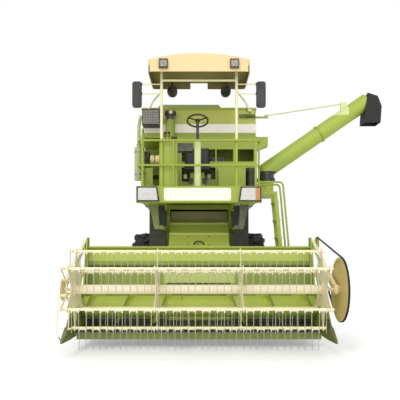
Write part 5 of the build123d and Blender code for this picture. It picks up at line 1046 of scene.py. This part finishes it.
# %% Knife sections
GUARD_PITCH = 76.2
KNIFE_Y = -2300
KNIFE_Z = 262
SECTIONS = 46
mesh = bmesh.new()
for k in range(SECTIONS - 1):
    x = (k + 0.5 - (SECTIONS - 1) / 2) * GUARD_PITCH
    corners = [(x - 36, -15), (x + 36, -15), (x + 8, -66), (x - 8, -66)]
    slab(mesh, [at(cx, KNIFE_Y + cy, KNIFE_Z + 0.3) for cx, cy in corners], Z * 0.0025)
finished("knife_sections", mesh, STEEL, "header")
mesh = bmesh.new()
for k in range(0, SECTIONS, 4):
    x = (k - (SECTIONS - 1) / 2) * GUARD_PITCH
    box(mesh, at(x - 14, KNIFE_Y - 30, KNIFE_Z + 2.9), at(x + 14, KNIFE_Y + 26, KNIFE_Z + 8))
    bolt(mesh, at(x, KNIFE_Y + 10, KNIFE_Z + 8), Z, 0.007)
finished("knife_clips", mesh, CAST, "header", bevel=0.0015)

# %% [markdown]
# Spring tines are clamped to a bat by small white clips, two to a pair of tines. They make a row of pale
# dots just under each bat. A clip is a nylon block with its lower corners cut.

# %% Tine clips
REEL_HALF = 1700
TINE_PAIRS = 18
TINE_GAP = 88
CRANK_REACH = 82
CLIP_OUTLINE = ((-7, -8), (7, -8), (7, -34), (4, -42), (-4, -42), (-7, -34))
CLIP_OUT = BAT_R + 6
TINE_PITCH = (2 * REEL_HALF - 100) / TINE_PAIRS
for k in range(1, BAT_COUNT + 1):
    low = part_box(f"reel_bat_{k}")[0]
    z = low.z * 1000 + TINE_LENGTH
    # A bat's box begins at its crank's end, which lies ahead of the tube's middle
    y = (low.y - AXLE_Y) * 1000 + CRANK_REACH
    mesh = bmesh.new()
    for n in range(TINE_PAIRS):
        for half in (-TINE_GAP / 2, TINE_GAP / 2):
            x = (n - (TINE_PAIRS - 1) / 2) * TINE_PITCH + half
            slab(mesh, [at(x + px, y - CLIP_OUT, z + pz) for px, pz in CLIP_OUTLINE], Y * 2 * CLIP_OUT / 1000)
    finished(f"tine_clips_{k}", mesh, NYLON, f"reel_bat_{k}")

# %% [markdown]
# The header's rear wall is stiffened by bolted seams, its auger turns in flanged bearings on the end
# plates, and the reel's spiders are clamped to its tube by bolted collars. The drive wheel's spokes are
# closed by a bolted plate on the inside.

# %% Header and reel details
HEADER_HALF = 1800
HEADER_REAR_Y = -1450
wall_y = HEADER_REAR_Y - 8
places = row(at(-1740, wall_y, 1090), at(1740, wall_y, 1090), 24)
bolts("header_wall_bolts", places, -Y, GREEN, "header", head=0.008)
places = row(at(-520, wall_y - 5, 1025), at(540, wall_y - 5, 1025), 12)
bolts("mouth_plate_bolts", places, -Y, STEEL, "header", head=0.006)
mesh = bmesh.new()
for side in (-1, 1):
    start = at(side * HEADER_HALF, AUGER_Y, AUGER_Z)
    flange = [(0, 0.085), (0.006, 0.085), (0.008, 0.05), (0.028, 0.046), (0.03, 0.03)]
    turned(mesh, start, X * side, flange, 24)
    for angle in (45, 135, 225, 315):
        out = around(radians(angle), Y, Z)
        bolt(mesh, start + X * side * 0.006 + out * 0.067, X * side, 0.007)
finished("auger_bearings", mesh, CAST, "header")
mesh = bmesh.new()
for x in (-1660, -560, 560, 1660):
    for k in range(6):
        out = around(radians(60 * k + 12), Y, Z)
        for face in (-1, 1):
            bolt(mesh, at(x + face * 16, REEL_Y, REEL_Z) + out * 0.078, X * face, 0.006)
finished("reel_collar_bolts", mesh, STEEL, "reel")
mesh = bmesh.new()
wheel_x = (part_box("reel_shaft")[1].x - MID_X) * 1000 - 30
wheel_face = at(wheel_x - 8.5, REEL_Y, REEL_Z)
turned(mesh, wheel_face, X, [(0, 0.058), (0, 0.385), (0.003, 0.387), (0.003, 0.058)], 48)
for k in range(12):
    bolt(mesh, wheel_face + around(2 * pi * k / 12, Y, Z) * 0.37, -X, 0.007)
finished("reel_wheel_plate", mesh, BY_NODE["reel_shaft"], "reel")

# %% [markdown]
# Doors on the body's sides hang on two lift-off hinges and close with two turn latches. The feeder house
# carries an inspection cover with a grab handle on its top.

# %% Doors, latches and the feeder's handle
LEFT_DOORS = ((600, 1250, 1330, 1700), (1950, 2450, 1330, 2050))
RIGHT_DOORS = ((1250, 2050, 1880, 2090), (2300, 2680, 1330, 2050))
for (side, label), doors in zip(SIDES, (LEFT_DOORS, RIGHT_DOORS)):
    mesh = bmesh.new()
    latches = bmesh.new()
    out = X * side
    for y_low, y_high, z_low, z_high in doors:
        for y in (y_low + 110, y_high - 110):
            turned(mesh, at(side * 633, y - 45, z_high + 4), Y, [(0, 0.009), (0.09, 0.009)], 12)
            box(mesh, at(side * 629 - 2, y - 30, z_high - 34), at(side * 629 + 2, y + 30, z_high + 2))
            turned(latches, at(side * 628, y, z_low + 40), out, [(0, 0.02), (0.008, 0.02), (0.01, 0.012)], 16)
            box(latches, at(side * 640 - 4, y - 6, z_low + 12), at(side * 640 + 4, y + 6, z_low + 62))
    finished(f"door_hinges_{label}", mesh, DARK_GREEN)
    finished(f"door_latches_{label}", latches, BLACK, bevel=0.0015)
    seam = []
    for y in (-230, 3090):
        seam += row(at(side * 620, y, 1480), at(side * 620, y, 2160), 8)
    bolts(f"body_bolts_{label}", seam, out, STEEL, head=0.008)
FEEDER_RISE, FEEDER_RUN = 960, 1030
FEEDER_FOOT_Z = 1000
COVER_Y = -830
HANDLE_R = 0.085
slope = atan2(FEEDER_RISE, FEEDER_RUN)
down = -around(slope, Y, Z)
normal = around(slope, Z, -Y)
cover_z = FEEDER_FOOT_Z + FEEDER_RISE * (COVER_Y - HEADER_REAR_Y) / FEEDER_RUN
cover_middle = at(0, COVER_Y, cover_z) + normal * 0.0005
mesh = bmesh.new()
panel(mesh, cover_middle, X, down, 0.42, 0.25, 0.03, normal * 0.005)
finished("feeder_cover", mesh, BY_NODE["feeder_house"], "header", bevel=0.0015)
mesh = bmesh.new()
handle_middle = cover_middle + down * 0.105 + normal * 0.004
handle = [handle_middle + around(pi * step / 8, X, normal) * HANDLE_R for step in range(9)]
for start, end in zip(handle, handle[1:]):
    turned(mesh, start, end - start, [(0, 0.011), ((end - start).length, 0.011)], 12)
for sx in (-1, 1):
    for sy in (-1, 1):
        bolt(mesh, cover_middle + X * sx * 0.18 + down * sy * 0.1 + normal * 0.005, normal, 0.008)
finished("feeder_handle", mesh, CAST, "header")

# %% [markdown]
# A plate stands on the feeder house's top where it enters the body, and closes most of the gap above it. It
# rises with the header, so it ends well short of the engine bay's floor.

# %% Feeder shield
mesh = bmesh.new()
box(mesh, at(-518, -268, 1961), at(518, -262, 2128))
box(mesh, at(-518, -274, 1961), at(518, -262, 1975))
finished("feeder_shield", mesh, BY_NODE["feeder_house"], "header", bevel=0.002)

# %% [markdown]
# Beside the feeder house a dark plate hangs from the engine bay's floor on each side, like a splash plate
# that keeps mud from the front tyres off the drives. Its dark, muddied paint is painted shade for the gap
# under the deck. It ends 50 mm from the tread, and is cut out round the hanger's rear rail and the strut.

# %% Splash plates
SPLASH_Y = -690
SPLASH_OUTLINE = (
    (562, 1480), (870, 1480), (870, 2205), (603, 2205), (603, 2108), (562, 2108),
    (562, 1832), (655, 1832), (655, 1748), (562, 1748),
)
for side, label in SIDES:
    mesh = bmesh.new()
    slab(mesh, [at(side * x, SPLASH_Y, z) for x, z in SPLASH_OUTLINE], Y * 0.004)
    finished(f"splash_shade_plate_{label}", mesh, SPLASH_SHADE, bevel=0.001)
    places = row(at(side * 640, SPLASH_Y, 2188), at(side * 850, SPLASH_Y, 2188), 4)
    bolts(f"splash_bolts_{label}", places, -Y, STEEL, head=0.007)

# %% [markdown]
# Behind, chaff is kept down by a rubber curtain of strips under the hood, and a red lamp sits on each of
# the hood's sides. The exhaust gets its clamps.

# %% Hood curtain, rear lamps and clamps
HOOD_REAR_Y = 4350
mesh = bmesh.new()
for k in range(12):
    low_x = -608 + 101.5 * k
    high_x = low_x + 98
    foot_y = HOOD_REAR_Y - 30
    corners = [
        at(low_x, HOOD_REAR_Y - 16, 1420), at(high_x, HOOD_REAR_Y - 16, 1420),
        at(high_x, foot_y - 4 - 6 * (k % 3), 1105), at(low_x, foot_y - 6 * (k % 2), 1105),
    ]
    slab(mesh, corners, Y * 0.005)
finished("hood_curtain", mesh, RUBBER)
for side, label in SIDES:
    mesh = bmesh.new()
    start = at(side * 620, 4180, 1560)
    turned(mesh, start, X * side, [(0, 0.062), (0.03, 0.058), (0.034, 0.052)], 24)
    finished(f"rear_lamp_body_{label}", mesh, BLACK, bevel=0.0015)
    mesh = bmesh.new()
    dome = [(0, 0.051), (0.008, 0.046), (0.012, 0.03), (0.013, 0.004)]
    turned(mesh, start + X * side * 0.033, X * side, dome, 24)
    finished(f"rear_lamp_glass_{label}", mesh, RED_GLASS, smooth=True)
EXHAUST_X, EXHAUST_Y = -1105, -245
mesh = bmesh.new()
CLAMPS = ((2790, 0.0805, 0.084, 32), (3200, 0.0805, 0.084, 32), (3335, 0.033, 0.042, 24))
for z, inner, outer, sides in CLAMPS:
    ring = [(0, inner), (0, outer), (0.03, outer), (0.03, inner)]
    turned(mesh, at(EXHAUST_X, EXHAUST_Y, z), Z, ring, sides)
finished("exhaust_clamps", mesh, STEEL)

# %% [markdown]
# The deck's walking surface is chequer plate, laid as a thin sheet between the deck's edges. Two waves 40
# mm long cross at right angles, turned by 45 degrees, and where both are high a lozenge is raised and worn
# paler.

# %% Chequer plate
LOZENGE_SCALE = 25
CHEQUER, tree, shader, place = new_material("painted chequer plate", Roughness=0.42, IOR=1.5)
inputs = {"Vector": place, "Rotation": (0, 0, radians(45)), "Scale": (LOZENGE_SCALE,) * 3}
lozenges = add(tree, "ShaderNodeMapping", inputs).outputs["Vector"]
split = add(tree, "ShaderNodeSeparateXYZ", {"Vector": lozenges})
waves = [compute(tree, "SINE", compute(tree, "MULTIPLY", split.outputs[axis], 2 * pi)) for axis in "XY"]
raised = spread(tree, compute(tree, "MULTIPLY", *waves), 0, 1, 0.35, 0.6)
feed(tree, shader, colour=blend(tree, raised, "#5D6E28", "#8A9868"), normal=bump(tree, raised, 0.6, 0.002))
mesh = bmesh.new()
box(mesh, at(-930, -1640, 2400.3), at(930, -1060, 2402.5))
box(mesh, at(-930, -1060, 2400.3), at(-300, -800, 2402.5))
finished("deck_plate", mesh, CHEQUER)

# %% [markdown]
# The ladder's steps have punched grips: two rows of raised round lips on each. The railing's corners and
# posts are welded, and a weld is a small ring of bead where one tube meets the other.

# %% Ladder grips and railing welds
LADDER_FOOT = (1420, 620)
LADDER_HEAD = (1250, 2380)
GRIP_LIP = [(0, 0.011), (0.004, 0.009), (0.004, 0.006), (0.0005, 0.005)]
RAIL_Y = -1675
mesh = bmesh.new()
for k in range(6):
    share = (k + 0.4) / 6
    x = LADDER_FOOT[0] + (LADDER_HEAD[0] - LADDER_FOOT[0]) * share
    z = LADDER_FOOT[1] + (LADDER_HEAD[1] - LADDER_FOOT[1]) * share
    for y in range(-1255, -975, 35):
        for dx in (-20, 20):
            turned(mesh, at(x + dx, y, z + 12), Z, GRIP_LIP, 10)
finished("ladder_grips", mesh, GREEN)
mesh = bmesh.new()
for x in (-888, -402, 888):
    for z in (2750, 3140):
        for offset in (-16, 12):
            turned(mesh, at(x, RAIL_Y, z + offset), Z, [(0, 0.017), (0.002, 0.0195), (0.004, 0.017)], 14)
    turned(mesh, at(x, RAIL_Y, 2400), Z, [(0, 0.034), (0.006, 0.034), (0.007, 0.02)], 20)
finished("railing_welds", mesh, GREEN, smooth=True)

# %% [markdown]
# The unloading auger swings on a bolted flange, and its long tube is bolted together where two lengths
# meet. Bolts stand round both.

# %% Unloader bolts
TURRET = at(1225, -300, 2700)
ELBOW_RISE = 0.17
RISE = radians(34.6)
TUBE_LENGTH = 2.230
JOINT_SHARE = 0.52
mesh = bmesh.new()
for k in range(10):
    bolt(mesh, TURRET + around(2 * pi * (k + 0.5) / 10, X, Y) * 0.155 + Z * 0.025, Z, 0.007)
along = around(RISE, X, Z)
across = along.cross(Y)
joint = TURRET + Z * ELBOW_RISE + along * (JOINT_SHARE * TUBE_LENGTH - 0.001)
for k in range(10):
    bolt(mesh, joint + around(2 * pi * k / 10, Y, across) * 0.152, -along, 0.0045)
finished("unloader_bolts", mesh, STEEL, "unloading_auger")

# %% [markdown]
# The stage is a plain pale floor under soft daylight. The camera sees a white world and the machine is lit
# by a dimmer one, so that the white does not spill onto the paint. The floor glows a little, for the camera
# only. A soft sun and two wide patches of open sky, ahead and behind, shape the light.

# %% Floor, world and lamps
FLOOR_HALF = 30
FLOOR_GLOW = 0.27
SKY = 0.74
floor_mesh = bpy.data.meshes.new("floor")
corners = [(x * FLOOR_HALF, y * FLOOR_HALF, 0) for x, y in ((-1, -1), (1, -1), (1, 1), (-1, 1))]
floor_mesh.from_pydata(corners, [], [(0, 1, 2, 3)])
floor = bpy.data.objects.new("floor", floor_mesh)
bpy.context.collection.objects.link(floor)
floor_material, tree, shader, _ = new_material("pale floor", Roughness=0.9)
shader.inputs["Base Color"].default_value = srgb("#F4F4F2")
shader.inputs["Emission Color"].default_value = srgb("#FFFFFF")
to_camera = add(tree, "ShaderNodeLightPath").outputs["Is Camera Ray"]
tree.links.new(compute(tree, "MULTIPLY", to_camera, FLOOR_GLOW), shader.inputs["Emission Strength"])
floor_mesh.materials.append(floor_material)

world = bpy.data.worlds.new("daylight")
world.use_nodes = True
tree = world.node_tree
tree.nodes.clear()
to_camera = add(tree, "ShaderNodeLightPath").outputs["Is Camera Ray"]
seen = add(tree, "ShaderNodeBackground", {"Color": (1, 1, 1, 1), "Strength": 1.0})
light = add(tree, "ShaderNodeBackground", {"Color": srgb("#F6F8FF"), "Strength": SKY})
inputs = {0: to_camera, 1: light.outputs["Background"], 2: seen.outputs["Background"]}
choice = add(tree, "ShaderNodeMixShader", inputs)
add(tree, "ShaderNodeOutputWorld", {"Surface": choice.outputs["Shader"]})
bpy.context.scene.world = world

LAMPS = (
    ("sun", 0.7, 14, (50, -8, -18)),
    ("open sky ahead", 1.15, 60, (80, 0, 8)),
    ("open sky behind", 0.35, 60, (60, 0, 190)),
)
for name, strength, angle_across, turn in LAMPS:
    lamp_data = bpy.data.lights.new(name, "SUN")
    lamp_data.energy = strength
    lamp_data.angle = radians(angle_across)
    lamp = bpy.data.objects.new(name, lamp_data)
    lamp.rotation_euler = [radians(angle) for angle in turn]
    bpy.context.collection.objects.link(lamp)
print("lamps", len(LAMPS))

bpy.context.scene.view_settings.view_transform = "Standard"
